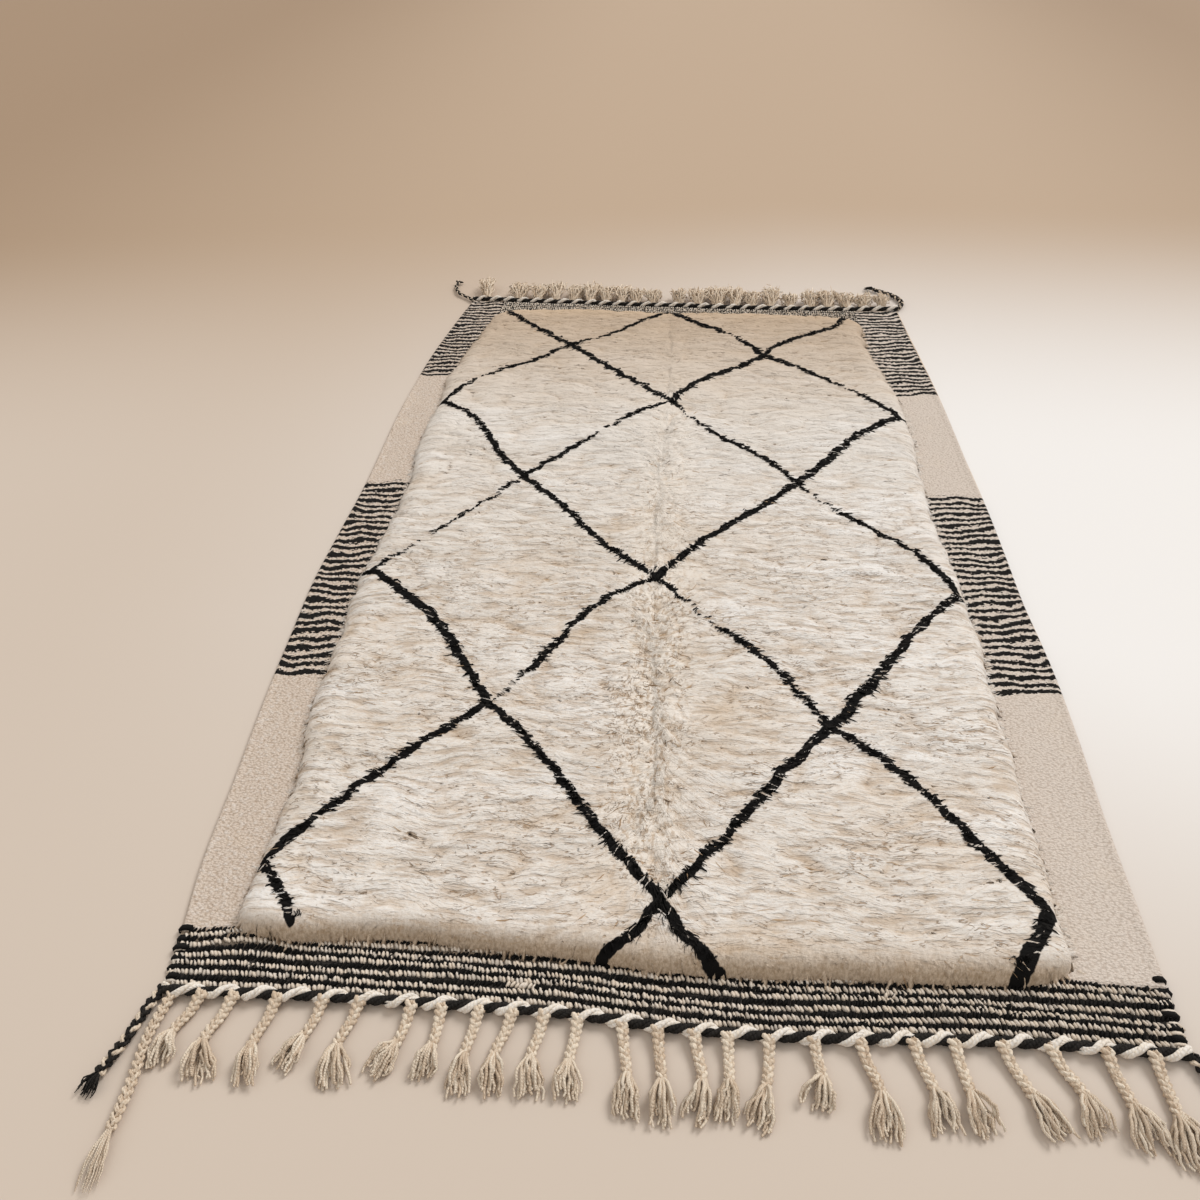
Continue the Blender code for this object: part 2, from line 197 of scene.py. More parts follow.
ARMS = (
    # from, to, bow to the left, sway, weight, where it thins out (0 for nowhere)
    ("middle_left_foot", "middle_1", -0.010, 0.000, 1.10, 0.0),
    ("middle_right_foot", "middle_1", 0.008, 0.000, 1.15, 0.0),
    ("middle_1", "left_1", -0.005, 0.002, 1.10, 0.0),
    ("middle_1", "right_1", 0.000, -0.003, 1.10, 0.0),
    ("right_1", "right_rim_1", 0.014, 0.004, 1.15, 0.0),
    ("right_rim_1", "right_foot", 0.000, 0.000, 1.45, 0.0),
    ("left_1", "left_rim_1", -0.009, 0.000, 1.05, 0.0),
    ("left_rim_1", "left_foot", 0.002, 0.000, 0.90, 0.0),
    ("left_1", "left_rim_2", -0.023, 0.002, 1.20, 0.0),
    ("left_1", "middle_2", 0.022, -0.011, 0.90, 0.08),
    ("right_1", "middle_2", -0.011, -0.005, 0.85, 0.72),
    ("right_1", "right_rim_2", 0.006, -0.004, 1.15, 0.0),
    ("right_rim_2", "right_2", -0.016, -0.010, 0.80, 0.82),
    ("middle_2", "right_2", 0.007, 0.005, 1.00, 0.0),
    ("middle_2", "left_2", 0.009, 0.004, 1.00, 0.0),
    ("left_rim_2", "left_2", -0.004, 0.001, 0.55, 0.27),
    ("left_2", "left_rim_3", -0.013, 0.011, 0.95, 0.0),
    ("left_2", "middle_3", 0.015, -0.007, 0.80, 0.55),
    ("right_2", "middle_3", 0.007, -0.009, 0.90, 0.82),
    ("right_2", "right_rim_3", 0.016, -0.007, 1.10, 0.0),
    ("right_rim_3", "right_3", -0.014, 0.000, 0.95, 0.40),
    ("middle_3", "right_3", 0.013, 0.008, 1.10, 0.0),
    ("middle_3", "left_3", 0.005, 0.000, 1.10, 0.0),
    ("left_rim_3", "left_3", 0.019, 0.011, 0.85, 0.35),
    ("left_3", "left_rim_4", 0.000, 0.002, 1.00, 0.0),
    ("left_3", "middle_4", -0.005, -0.006, 0.80, 0.20),
    ("middle_4", "right_3", 0.015, -0.007, 0.95, 0.62),
    ("right_3", "right_rim_4", 0.004, 0.010, 1.00, 0.0),
    ("left_rim_2", "left_spur", 0.000, 0.000, 0.90, 0.0),
    ("right_rim_3", "right_spur", 0.000, 0.000, 0.80, 0.0),
)
THIN_REACH = 0.10  # how much of an arm is thin where it thins out
LINE_REACH = 0.0044  # half the width of the black dye under a line

# The parting that runs down the middle of the pile, from which the wool lies to either side.
PARTING_COLUMNS = ("y", "x", "strength")
PARTING_ROWS = (
    (-0.95, 0.000, 0.2),
    (-0.84, -0.004, 0.9),
    (-0.60, -0.012, 1.0),
    (-0.34, -0.022, 1.0),
    (-0.24, -0.024, 0.5),
    (0.02, -0.030, 0.8),
    (0.30, -0.020, 0.6),
    (0.40, -0.018, 0.3),
    (0.62, -0.020, 0.4),
    (0.90, -0.030, 0.2),
)
LOZENGE_MIDDLES = (-0.56, 0.06, 0.62)  # the Y of each middle lozenge's centre
LOZENGE_REACH = 0.31
COMB_WAVES = ((3.1, 2.2, 0.3, 0.20), (-5.3, 6.1, 2.0, 0.14), (9.0, 4.0, 1.0, 0.10))

# Black stripes of the side borders, counted along Y: whole numbers are where a stripe starts.
LEFT_STRIPES = ((-0.95, -25), (-0.480, 0), (0.082, 29), (0.548, 53), (1.0, 77))
RIGHT_STRIPES = ((-0.95, -27), (-0.485, 0), (0.052, 31), (0.455, 54), (1.0, 83))
LEFT_BLOCKS = ((0, 29), (53, 90))
RIGHT_BLOCKS = ((0, 31), (54, 90))
STRIPE_WAVES = (
    # turns per metre along X and along Y, phase, weight in stripes
    (5.2, 4.1, 0.4, 0.22),
    (11.0, -7.3, 1.9, 0.13),
    (19.0, 9.0, 3.1, 0.10),
    (3.0, 23.0, 0.8, 0.10),
)

# The end borders' stitched rows, from the woven edge inwards: black rows and how they break off.
NEAR_ROWS = 12
NEAR_BLACK_ROWS = (1, 3, 5, 7, 9, 11)
NEAR_BREAKS = (
    # row, from x, to x
    (3, -0.165, -0.135),
    (7, 0.250, 0.258),
)
FAR_ROWS = 22
FAR_SPAN = (-0.474, 0.434)  # the X at which the far rows start and stop
FAR_BLACK_ROWS = (0, 2, 4, 6, 8, 10, 12, 14, 16, 18, 20)

ROW_START = 0.0030  # from the woven edge to the first row
ROW_WAVES = ((2.1, 3.0, 0.0, 1.0), (7.0, 9.0, 1.0, 0.5), (19.0, 31.0, 2.0, 0.3))
NEAR_FAN = (-0.475, 0.045, 0.21)  # where the near rows fan out: x, reach, share

NEAR_TURNS = 27  # turns of the twined cords
FAR_TURNS = 30
PLY = 0.0019  # from a cord strand's middle to the middle of each of its three plies
PLY_RADIUS = 0.0021
PLAIT = {"Phase Step": 1 / 3, "Lobes": 2.0, "Plies": 2, "Sides": 5, "Spacing": 0.0028}

NEAR_FINGERS = (
    # root x, plait lean, tassel lean, reach, tassel half width
    (-0.505, -0.018, 0.004, 0.074, 0.010),
    (-0.468, -0.018, 0.014, 0.090, 0.014),
    (-0.418, -0.012, 0.004, 0.090, 0.012),
    (-0.366, -0.010, -0.018, 0.070, 0.011),
    (-0.325, -0.014, 0.010, 0.085, 0.013),
    (-0.267, -0.006, -0.020, 0.072, 0.011),
    (-0.233, -0.002, -0.006, 0.072, 0.010),
    (-0.192, -0.008, 0.000, 0.085, 0.011),
    (-0.155, -0.014, 0.006, 0.082, 0.010),
    (-0.120, -0.010, 0.004, 0.080, 0.011),
    (-0.083, -0.006, 0.003, 0.080, 0.011),
    (-0.035, 0.008, 0.004, 0.090, 0.012),
    (0.003, 0.006, 0.002, 0.092, 0.010),
    (0.042, 0.010, -0.012, 0.085, 0.010),
    (0.077, 0.001, -0.004, 0.080, 0.009),
    (0.120, -0.004, -0.014, 0.085, 0.011),
    (0.167, 0.006, -0.010, 0.062, 0.013),
    (0.215, 0.016, -0.004, 0.088, 0.013),
    (0.270, 0.014, 0.006, 0.082, 0.012),
    (0.312, 0.007, 0.012, 0.085, 0.012),
    (0.361, 0.018, 0.022, 0.085, 0.010),
    (0.410, 0.022, 0.008, 0.080, 0.012),
    (0.465, 0.010, 0.010, 0.092, 0.014),
    (0.512, 0.004, 0.006, 0.105, 0.015),
)
FAR_FINGERS = (
    # root x, lean, reach, half width
    (-0.520, -0.020, 0.110, 0.013),
    (-0.435, -0.002, 0.085, 0.021),
    (-0.385, 0.004, 0.075, 0.019),
    (-0.335, -0.004, 0.096, 0.018),
    (-0.290, 0.006, 0.078, 0.017),
    (-0.245, 0.004, 0.102, 0.017),
    (-0.200, -0.004, 0.074, 0.016),
    (-0.160, 0.004, 0.088, 0.015),
    (-0.120, -0.003, 0.068, 0.015),
    (-0.078, 0.002, 0.062, 0.014),
    (-0.010, -0.002, 0.070, 0.014),
    (0.040, 0.004, 0.086, 0.022),
    (0.090, 0.000, 0.106, 0.020),
    (0.135, 0.002, 0.100, 0.017),
    (0.178, -0.002, 0.072, 0.016),
    (0.225, 0.002, 0.106, 0.018),
    (0.275, -0.002, 0.055, 0.016),
    (0.325, 0.002, 0.080, 0.018),
    (0.370, 0.002, 0.092, 0.018),
    (0.415, 0.000, 0.070, 0.018),
    (0.460, -0.002, 0.056, 0.018),
    (0.503, -0.004, 0.048, 0.015),
)

# The corner plaits and tails.
CORNER_ROUTES = {
    # tail: thickness, reach of its open end, x and y of each point on the way over the floor
    "near_left_plait": (
        1.0,
        0.026,
        ((-0.552, -1.004), (-0.560, -1.030), (-0.566, -1.060), (-0.580, -1.105)),
    ),
    "near_left_tail": (
        1.0,
        0.060,
        ((-0.539, -1.010), (-0.545, -1.060), (-0.541, -1.110), (-0.541, -1.160)),
    ),
    "near_right_plait": (
        1.0,
        0.026,
        ((0.549, -1.012), (0.560, -1.040), (0.568, -1.070), (0.582, -1.108)),
    ),
    "far_left_tail": (
        0.72,
        0.010,
        (
            (-0.558, 0.992),
            (-0.582, 1.018),
            (-0.606, 1.042),
            (-0.620, 1.075),
            (-0.625, 1.100),
            (-0.622, 1.118),
        ),
    ),
    "far_right_plait": (
        1.0,
        0.026,
        ((0.545, 0.936), (0.560, 0.975), (0.552, 1.010), (0.528, 1.042), (0.500, 1.066)),
    ),
}
IVORY_TAILS = ("near_left_tail",)  # the others are black and ivory
TAIL_HEIGHT = 0.0066  # of their middles over the floor

SUNS = (
    # name, where it shines from, share of the key's power, spread in degrees
    ("key", (2.6, 3.0, 3.6), 1.0, 26.0),
    ("fill", (-3.0, -1.0, 4.0), 0.12, 60.0),
)
CAMERA_PLACE = (0.0181, -1.5808, 1.0319)
CAMERA_PITCH = math.radians(38.21)  # downwards
CAMERA_YAW = math.radians(-5.965)  # from +Y towards +X
CAMERA_ROLL = math.radians(-2.30)

IN_PLAN = (1.0, 1.0, 0.0)
MOST_LOCKS = 60000.0  # per square metre
LOCK_VARIETY = ((0.60, 1.40), (0.55, 1.45), (0.50, 1.50))  # of length, width and height
STITCH_VARIETY = ((0.90, 1.10), (0.72, 1.22), (0.80, 1.20))
STITCH_WANDER = ((-1.0, 1.0), (-1.0, 1.0), (-0.8, 0.8))


def column(names, rows, name):
    """One named column of a table."""
    return np.array([row[names.index(name)] for row in rows])


def smooth(keys, values):
    """A smooth function through a table's values, sloping at each key as its neighbours do."""
    slopes = np.gradient(values, keys)

    def at(position):
        i = np.clip(np.searchsorted(keys, position) - 1, 0, len(keys) - 2)
        span = keys[i + 1] - keys[i]
        t = np.clip((position - keys[i]) / span, 0.0, 1.0)
        rise = values[i + 1] - values[i]
        first, second = slopes[i] * span, slopes[i + 1] * span
        square = 3 * rise - 2 * first - second
        cube = first + second - 2 * rise
        return values[i] + first * t + square * t**2 + cube * t**3

    return at


def edge_curves(names, rows):
    """A smooth function for each of a table's columns but the first, by name."""
    keys = column(names, rows, names[0])
    return {name: smooth(keys, column(names, rows, name)) for name in names[1:]}


SIDES = edge_curves(SIDE_COLUMNS, SIDE_ROWS)
ENDS = edge_curves(END_COLUMNS, END_ROWS)
PARTING = edge_curves(PARTING_COLUMNS, PARTING_ROWS)


def ripple(x, y, waves):
    """A sum of slow waves over the rug's plan."""
    total = 0.0
    for turns_x, turns_y, phase, weight in waves:
        total = total + weight * np.sin(2 * np.pi * (turns_x * x + turns_y * y) + phase)
    return total


def foot_insets(x, y):
    """How far a point lies inside the feet of the pile's sides, and of its ends."""
    across = np.minimum(x - SIDES["left_foot"](y), SIDES["right_foot"](y) - x)
    along = np.minimum(y - ENDS["near_foot"](x), ENDS["far_foot"](x) - y)
    return across, along


def foot_walls(x, y):
    """1 at the feet of the pile's sides, and of its ends, down to 0 a little way in."""
    return [np.clip(1.25 - inset / 0.030, 0.0, 1.0) for inset in foot_insets(x, y)]


def pile_inset(x, y, side_share=1.0):
    """How far a point lies inside the pile's foot, round its corners. It is negative outside.
    A side_share under 1 counts the distance from the long edges for less."""
    across, along = foot_insets(x, y)
    across = across * side_share
    corner = PILE_CORNER - np.hypot(PILE_CORNER - across, PILE_CORNER - along)
    inside = (across >= PILE_CORNER) | (along >= PILE_CORNER)
    return np.where(inside, np.minimum(across, along), corner)


def parting_at(x, y):
    """How far a point is to the right of the parting, and how strongly the wool parts there."""
    return x - PARTING["x"](y), PARTING["strength"](y)


def blended(table, i, j, next_i, next_j, a, b):
    """A table's value between four of its places."""
    lower = table[i, j] * (1 - a) + table[next_i, j] * a
    upper = table[i, next_j] * (1 - a) + table[next_i, next_j] * a
    return lower * (1 - b) + upper * b


def lumps(across, along, seed):
    """Smooth random heights from -1 to 1, one lump to each whole step across and along."""
    size = 256
    table = np.random.default_rng(seed).uniform(-1, 1, (size, size))
    i, j = np.floor(across).astype(int), np.floor(along).astype(int)
    a, b = across - i, along - j
    a, b = a * a * (3 - 2 * a), b * b * (3 - 2 * b)
    return blended(table, i % size, j % size, (i + 1) % size, (j + 1) % size, a, b)


def field_lay(x, y):
    """The way the wool lies away from the pile's edges, along X and along Y."""
    beside, strength = parting_at(x, y)
    nearest = np.zeros_like(y) + LOZENGE_MIDDLES[0]
    for middle in LOZENGE_MIDDLES[1:]:
        nearest = np.where(np.abs(y - middle) < np.abs(y - nearest), middle, nearest)
    upright = np.exp(-((beside / 0.065) ** 2)) * strength
    along = upright * (y - nearest) / LOZENGE_REACH * 1.7
    return np.tanh(beside / 0.022), along + ripple(x, y, COMB_WAVES)


def comb_ways(x, y):
    """Where a point lies across and along the combed strands: each keeps its place across."""
    columns, rows = np.arange(-0.56, 0.52, COMB_STEP_X), np.arange(-1.02, 0.96, COMB_STEP_Y)
    across = np.zeros((len(columns), len(rows)))
    along = np.zeros_like(across)
    for side in (-1, 1):
        order = range(len(columns)) if side < 0 else range(len(columns) - 1, -1, -1)
        place, walked = rows, np.zeros_like(rows)
        for i in order:
            lay_x, lay_y = field_lay(np.full_like(rows, columns[i]), rows)
            slope = lay_y / np.where(np.abs(lay_x) < 0.05, 0.05, np.abs(lay_x))
            slope = np.clip(slope, -3.0, 3.0)
            before = rows + slope * COMB_STEP_X
            place = np.interp(before, rows, place)
            walked = np.interp(before, rows, walked) + COMB_STEP_X * np.hypot(1, slope)
            here = (columns[i] - PARTING["x"](rows)) * side >= -COMB_STEP_X / 2
            across[i] = np.where(here, place, across[i])
            along[i] = np.where(here, walked if side < 0 else COMB_TURNED - walked, along[i])
    i = np.clip((x - columns[0]) / COMB_STEP_X, 0, len(columns) - 1.001)
    j = np.clip((y - rows[0]) / COMB_STEP_Y, 0, len(rows) - 1.001)
    left, low = i.astype(int), j.astype(int)
    places = (left, low, left + 1, low + 1, i - left, j - low)
    return [blended(table, *places) for table in (across, along)]


def bed_height(x, y, relief=0.0):
    """Height of the matted wool that the loose locks lie on."""
    pile = scene_settings("rug_pile")
    top = PILE + PILE_SWELL * ripple(x, y, SWELLS) / sum(row[3] for row in SWELLS)
    beside, strength = parting_at(x, y)
    top = top - pile.lock_height - pile.parting_depth * strength * np.exp(-((beside / 0.014) ** 2))
    inset = np.clip(pile_inset(x, y, SIDE_ROUNDING_SHARE), 0.0, pile.edge_rounding)
    share = np.sqrt(1 - (1 - inset / pile.edge_rounding) ** 2)
    return GROUND - 0.001 + share * (top + relief - GROUND + 0.001)


def matting(x, y):
    """Relief of the matted wool, 0 in its creases to 1 on its crowns."""
    across, along = comb_ways(x, y)
    across = across + 0.007 * lumps(x / 0.045, y / 0.028, 3)
    beside, strength = parting_at(x, y)
    curly = np.exp(-((beside / 0.045) ** 2)) * strength
    _, wall = foot_walls(x, y)
    broad = np.sqrt(np.abs(lumps(across / 0.026, along / 0.085, 5)))
    narrow = np.sqrt(np.abs(lumps(across / 0.0115, along / 0.042, 6)))
    twist = 0.010 * lumps(x / 0.02, y / 0.02, 8)
    curls = np.sqrt(np.abs(lumps((x + twist) / 0.0125, (y - twist) / 0.021, 9)))
    combed = 0.60 * broad + 0.40 * narrow
    combed = combed * (1 - 0.8 * curly) + 0.8 * curly * curls
    wall_folds = 0.30 + 0.55 * np.sqrt(np.abs(lumps(x / 0.021, y / 0.09, 7)))
    return combed * (1 - wall) + wall * wall_folds


def wool_lay(x, y):
    """The way the wool lies, as unit X and Y, how near the edge it is and how ruffled."""
    across, along = field_lay(x, y)
    beside, strength = parting_at(x, y)
    # Over the last stretch before the edge the wool leans outwards.
    step = 0.002
    inset = pile_inset(x, y)
    out_x = (pile_inset(x - step, y) - pile_inset(x + step, y)) / (2 * step)
    out_y = (pile_inset(x, y - step) - pile_inset(x, y + step)) / (2 * step)
    edge = np.clip(1 - inset / 0.022, 0.0, 1.0) ** 0.7
    across = across * (1 - edge) + out_x * edge * 1.3
    along = along * (1 - edge) + out_y * edge * 1.3
    length = np.hypot(across, along) + 1e-6
    return across / length, along / length, edge, np.exp(-((beside / 0.042) ** 2)) * strength


def scene_settings(name):
    """One of the rug's groups of settings."""
    return getattr(bpy.context.scene, name)


class Value:
    """One output of a node. Arithmetic on it adds Math nodes."""

    def __init__(self, graph, socket):
        self.graph = graph
        self.socket = socket

    def __add__(self, other):
        return self.graph.maths("ADD", self, other)

    def __radd__(self, other):
        return self.graph.maths("ADD", other, self)

    def __sub__(self, other):
        return self.graph.maths("SUBTRACT", self, other)

    def __rsub__(self, other):
        return self.graph.maths("SUBTRACT", other, self)

    def __mul__(self, other):
        return self.graph.maths("MULTIPLY", self, other)

    def __rmul__(self, other):
        return self.graph.maths("MULTIPLY", other, self)

    def __truediv__(self, other):
        return self.graph.maths("DIVIDE", self, other)

    def __pow__(self, other):
        return self.graph.maths("POWER", self, other)

    def __mod__(self, other):
        return self.graph.maths("FLOORED_MODULO", self, other)

    def __lt__(self, other):
        return self.graph.maths("LESS_THAN", self, other)

    def __gt__(self, other):
        return self.graph.maths("GREATER_THAN", self, other)

    def __abs__(self):
        return self.graph.maths("ABSOLUTE", self)


class Node:
    """A node whose outputs are read by name."""

    def __init__(self, graph, node):
        self.graph = graph
        self.node = node

    def __getitem__(self, name):
        return Value(self.graph, pick(self.node.outputs, name))


def pick(sockets, name):
    """A node's socket by its place or name, of those that its settings leave in use."""
    if isinstance(name, int):
        return sockets[name]
    return next(socket for socket in sockets if socket.name == name and socket.enabled)


class Graph:
    """Adds nodes to a shader or geometry tree and links them."""

    def __init__(self, tree):
        self.tree = tree

    def node(self, kind, settings=None, inputs=None):
        """Any node: its type, its settings, then the values or links of its sockets."""
        node = self.tree.nodes.new(kind)
        for name, value in (settings or {}).items():
            setattr(node, name, value)
        for name, value in (inputs or {}).items():
            self.feed(pick(node.inputs, name), value)
        return Node(self, node)

    def feed(self, socket, value):
        """Links a socket to a node's output, or sets it to a constant."""
        if isinstance(value, Value):
            self.tree.links.new(value.socket, socket)
        else:
            socket.default_value = value

    def maths(self, operation, *values):
        inputs = dict(enumerate(values))
        return self.node("ShaderNodeMath", {"operation": operation}, inputs)["Value"]

    def vector(self, operation, *values):
        inputs = dict(enumerate(values))
        return self.node("ShaderNodeVectorMath", {"operation": operation}, inputs)["Vector"]

    def scaled(self, vector, factor):
        inputs = {"Vector": vector, "Scale": factor}
        return self.node("ShaderNodeVectorMath", {"operation": "SCALE"}, inputs)["Vector"]

    def xyz(self, x, y, z):
        return self.node("ShaderNodeCombineXYZ", {}, {"X": x, "Y": y, "Z": z})["Vector"]

    def parts(self, vector):
        node = self.node("ShaderNodeSeparateXYZ", {}, {"Vector": vector})
        return node["X"], node["Y"], node["Z"]

    def mix(self, factor, first, second):
        """A colour between two, each of them a link or three numbers."""
        first, second = (c if isinstance(c, Value) else (*c, 1.0) for c in (first, second))
        inputs = {"Factor": factor, "A": first, "B": second}
        return self.node("ShaderNodeMix", {"data_type": "RGBA"}, inputs)["Result"]

    def rise(self, value, low, high):
        """0 up to low, 1 from high, and a straight line between."""
        inputs = {"Value": value, "From Min": low, "From Max": high}
        return self.node("ShaderNodeMapRange", {"clamp": True}, inputs)["Result"]

    def fall(self, value, low, high):
        """1 up to low, 0 from high, and a straight line between."""
        return 1.0 - self.rise(value, low, high)

    def cloud(self, place, scale, detail, roughness):
        """Slow random values over the place. The scale is one number, or one for each axis."""
        if isinstance(scale, tuple):
            place, scale = self.vector("MULTIPLY", place, scale), 1.0
        inputs = {"Vector": place, "Scale": scale, "Detail": detail, "Roughness": roughness}
        return self.node("ShaderNodeTexNoise", {}, inputs)

    def noise(self, place, scale, detail=2.0, roughness=0.5):
        """A random number about 0.5."""
        return self.cloud(place, scale, detail, roughness)["Fac"]

    def wobble(self, place, scale, reach, detail=1.0, roughness=0.5):
        """A random offset, up to half the reach to either side."""
        colour = self.cloud(place, scale, detail, roughness)["Color"]
        return self.scaled(self.vector("SUBTRACT", colour, (0.5, 0.5, 0.5)), reach)

    def place(self):
        """The place of a material's point in the object."""
        return self.node("ShaderNodeTexCoord")["Object"]

    def map_place(self, name):
        """The place of a material's point in one of the mesh's own maps."""
        return self.node("ShaderNodeUVMap", {"uv_map": name})["UV"]

    def attribute(self, name):
        """A number that the mesh carries, in a material."""
        return self.node("ShaderNodeAttribute", {"attribute_name": name})["Fac"]


class GeometryGraph(Graph):
    """A geometry tree, with named inputs and one result."""

    def __init__(self, name):
        super().__init__(bpy.data.node_groups.new(name, "GeometryNodeTree"))
        self.inputs = self.tree.nodes.new("NodeGroupInput")

    def argument(self, name, kind="Float"):
        """A named input of the tree."""
        self.tree.interface.new_socket(name, in_out="INPUT", socket_type="NodeSocket" + kind)
        return Value(self, self.inputs.outputs[name])

    def arguments(self, *names, kind="Float"):
        """Several named inputs of one kind."""
        return [self.argument(name, kind) for name in names]

    def finish(self, geometry):
        """Realizes the instances, sets the material that the tree is given, and ends the tree."""
        material = self.argument("Material", "Material")
        inputs = {"Geometry": self.realized(geometry), "Material": material}
        done = self.node("GeometryNodeSetMaterial", {}, inputs)["Geometry"]
        kind = "NodeSocketGeometry"
        self.tree.interface.new_socket("Geometry", in_out="OUTPUT", socket_type=kind)
        output = self.tree.nodes.new("NodeGroupOutput")
        self.feed(output.inputs["Geometry"], done)
        return self.tree

    def realized(self, geometry):
        """The geometry with its instances made plain mesh."""
        return self.node("GeometryNodeRealizeInstances", {}, {"Geometry": geometry})["Geometry"]

    def named(self, name, kind="FLOAT"):
        """An attribute that the geometry carries."""
        settings = {"data_type": kind}
        return self.node("GeometryNodeInputNamedAttribute", settings, {"Name": name})["Attribute"]

    def store(self, geometry, name, value, domain="POINT"):
        """The geometry with a number kept on it."""
        settings = {"data_type": "FLOAT", "domain": domain}
        inputs = {"Geometry": geometry, "Name": name, "Value": value}
        return self.node("GeometryNodeStoreNamedAttribute", settings, inputs)["Geometry"]

    def random(self, low, high, seed):
        """A number from low to high, another for each element."""
        inputs = {"Min": low, "Max": high, "Seed": seed}
        return self.node("FunctionNodeRandomValue", {"data_type": "FLOAT"}, inputs)["Value"]

    def varied(self, sizes, ranges, seed):
        """Three sizes, each times its own random factor."""
        factors = [self.random(low, high, seed + n) for n, (low, high) in enumerate(ranges)]
        return self.xyz(*(size * factor for size, factor in zip(sizes, factors)))

    def position(self):
        return self.node("GeometryNodeInputPosition")["Position"]

    def radius(self):
        """The radius at each point of a path."""
        return self.node("GeometryNodeInputRadius")["Radius"]

    def along(self, name):
        """How far each point of a path is along it: its Factor or its Length."""
        return self.node("GeometryNodeSplineParameter")[name]

    def tangent(self):
        return self.node("GeometryNodeInputTangent")["Tangent"]

    def rightward(self, ahead):
        """The level direction to the right of the one ahead."""
        return self.vector("CROSS_PRODUCT", ahead, (0.0, 0.0, 1.0))

    def shape_of(self, other):
        """The geometry of an object that the tree is given."""
        return self.node("GeometryNodeObjectInfo", {}, {"Object": other})["Geometry"]

    def joined(self, first, second):
        """Two geometries as one."""
        join = self.tree.nodes.new("GeometryNodeJoinGeometry")
        for part in (first, second):
            self.tree.links.new(part.socket, join.inputs["Geometry"])
        return Value(self, join.outputs["Geometry"])

    def move(self, geometry, offset):
        inputs = {"Geometry": geometry, "Offset": offset}
        return self.node("GeometryNodeSetPosition", {}, inputs)["Geometry"]

    def put(self, geometry, place):
        inputs = {"Geometry": geometry, "Position": place}
        return self.node("GeometryNodeSetPosition", {}, inputs)["Geometry"]

    def without(self, points, gone):
        """The points but for those that are gone."""
        inputs = {"Geometry": points, "Selection": gone}
        return self.node("GeometryNodeDeleteGeometry", {"domain": "POINT"}, inputs)["Geometry"]

    def under(self, surface, name, kind="FLOAT"):
        """What a surface carries under a name, at its place nearest to each point."""
        inputs = {"Mesh": surface, "Value": self.named(name, kind)}
        settings = {"data_type": kind}
        return self.node("GeometryNodeSampleNearestSurface", settings, inputs)["Value"]

    def walk(self, path, spacing):
        """Points along a path, a spacing apart."""
        inputs = {"Curve": path, "Length": spacing}
        return self.node("GeometryNodeCurveToPoints", {"mode": "LENGTH"}, inputs)

    def resampled(self, path, mode, name, value):
        """A path with new points on it, by their Count or by the Length between them."""
        inputs = {"Curve": path, name: value}
        return self.node("GeometryNodeResampleCurve", {"mode": mode}, inputs)["Curve"]

    def copies(self, paths, count):
        """Each path several times over."""
        inputs = {"Geometry": paths, "Amount": count}
        return self.node("GeometryNodeDuplicateElements", {"domain": "SPLINE"}, inputs)

    def heading(self, ahead, turn):
        """A rotation that lays +X along the way ahead, then turns it on the spot."""
        settings = {"axis": "X", "pivot_axis": "Z"}
        aligned = self.node("FunctionNodeAlignRotationToVector", settings, {"Vector": ahead})
        euler = {"Euler": self.xyz(0.0, 0.0, turn)}
        turned = self.node("FunctionNodeEulerToRotation", {}, euler)["Rotation"]
        inputs = {"Rotation": aligned["Rotation"], "Rotate By": turned}
        settings = {"rotation_space": "LOCAL"}
        return self.node("FunctionNodeRotateRotation", settings, inputs)["Rotation"]

    def planted(self, points, shapes, rotation, scale):
        """One of a collection's shapes on each point."""
        inputs = {"Collection": shapes, "Separate Children": True}
        inputs = {
            "Points": points,
            "Instance": self.node("GeometryNodeCollectionInfo", {}, inputs)["Instances"],
            "Pick Instance": True, "Rotation": rotation, "Scale": scale,
        }
        return self.node("GeometryNodeInstanceOnPoints", {}, inputs)["Instances"]

    def tube(self, path, sides, radius):
        """Yarn along a path. It carries its own place around, for the material."""
        inputs = {"Resolution": sides, "Radius": 1.0}
        ring = self.node("GeometryNodeCurvePrimitiveCircle", {}, inputs)["Curve"]
        ring = self.store(ring, "around", self.along("Factor"))
        inputs = {"Curve": path, "Profile Curve": ring, "Scale": radius, "Fill Caps": True}
        return self.node("GeometryNodeCurveToMesh", {}, inputs)["Mesh"]


def link(name, data):
    """A new object in the scene."""
    obj = bpy.data.objects.new(name, data)
    bpy.context.scene.collection.objects.link(obj)
    return obj


def drop(*objects):
    """Removes helpers."""
    for obj in objects:
        bpy.data.objects.remove(obj)


def curve_object(name, paths):
    """A curve of straight splines, each through its points with its radii."""
    data = bpy.data.curves.new(name, "CURVE")
    data.dimensions = "3D"
    for points, radii in paths:
        spline = data.splines.new("POLY")
        spline.points.add(len(points) - 1)
        radii = np.broadcast_to(radii, len(points))
        for point, place, radius in zip(spline.points, points, radii):
            point.co = (*place, 1.0)
            point.radius = radius
    return link(name, data)


def grow(name, source, tree, values):
    """Runs a geometry tree on the source and keeps the result as a plain mesh."""
    modifier = source.modifiers.new("growth", "NODES")
    modifier.node_group = tree
    for item in tree.interface.items_tree:
        if item.in_out == "INPUT" and item.name in values:
            modifier[item.identifier] = values[item.name]
    graph = bpy.context.evaluated_depsgraph_get()
    mesh = bpy.data.meshes.new_from_object(
        source.evaluated_get(graph), preserve_all_data_layers=True, depsgraph=graph
    )
    source.modifiers.remove(modifier)
    if not mesh.polygons:
        raise RuntimeError(f"{name} has no faces")
    mesh.name = name
    mesh.shade_smooth()
    return link(name, mesh)


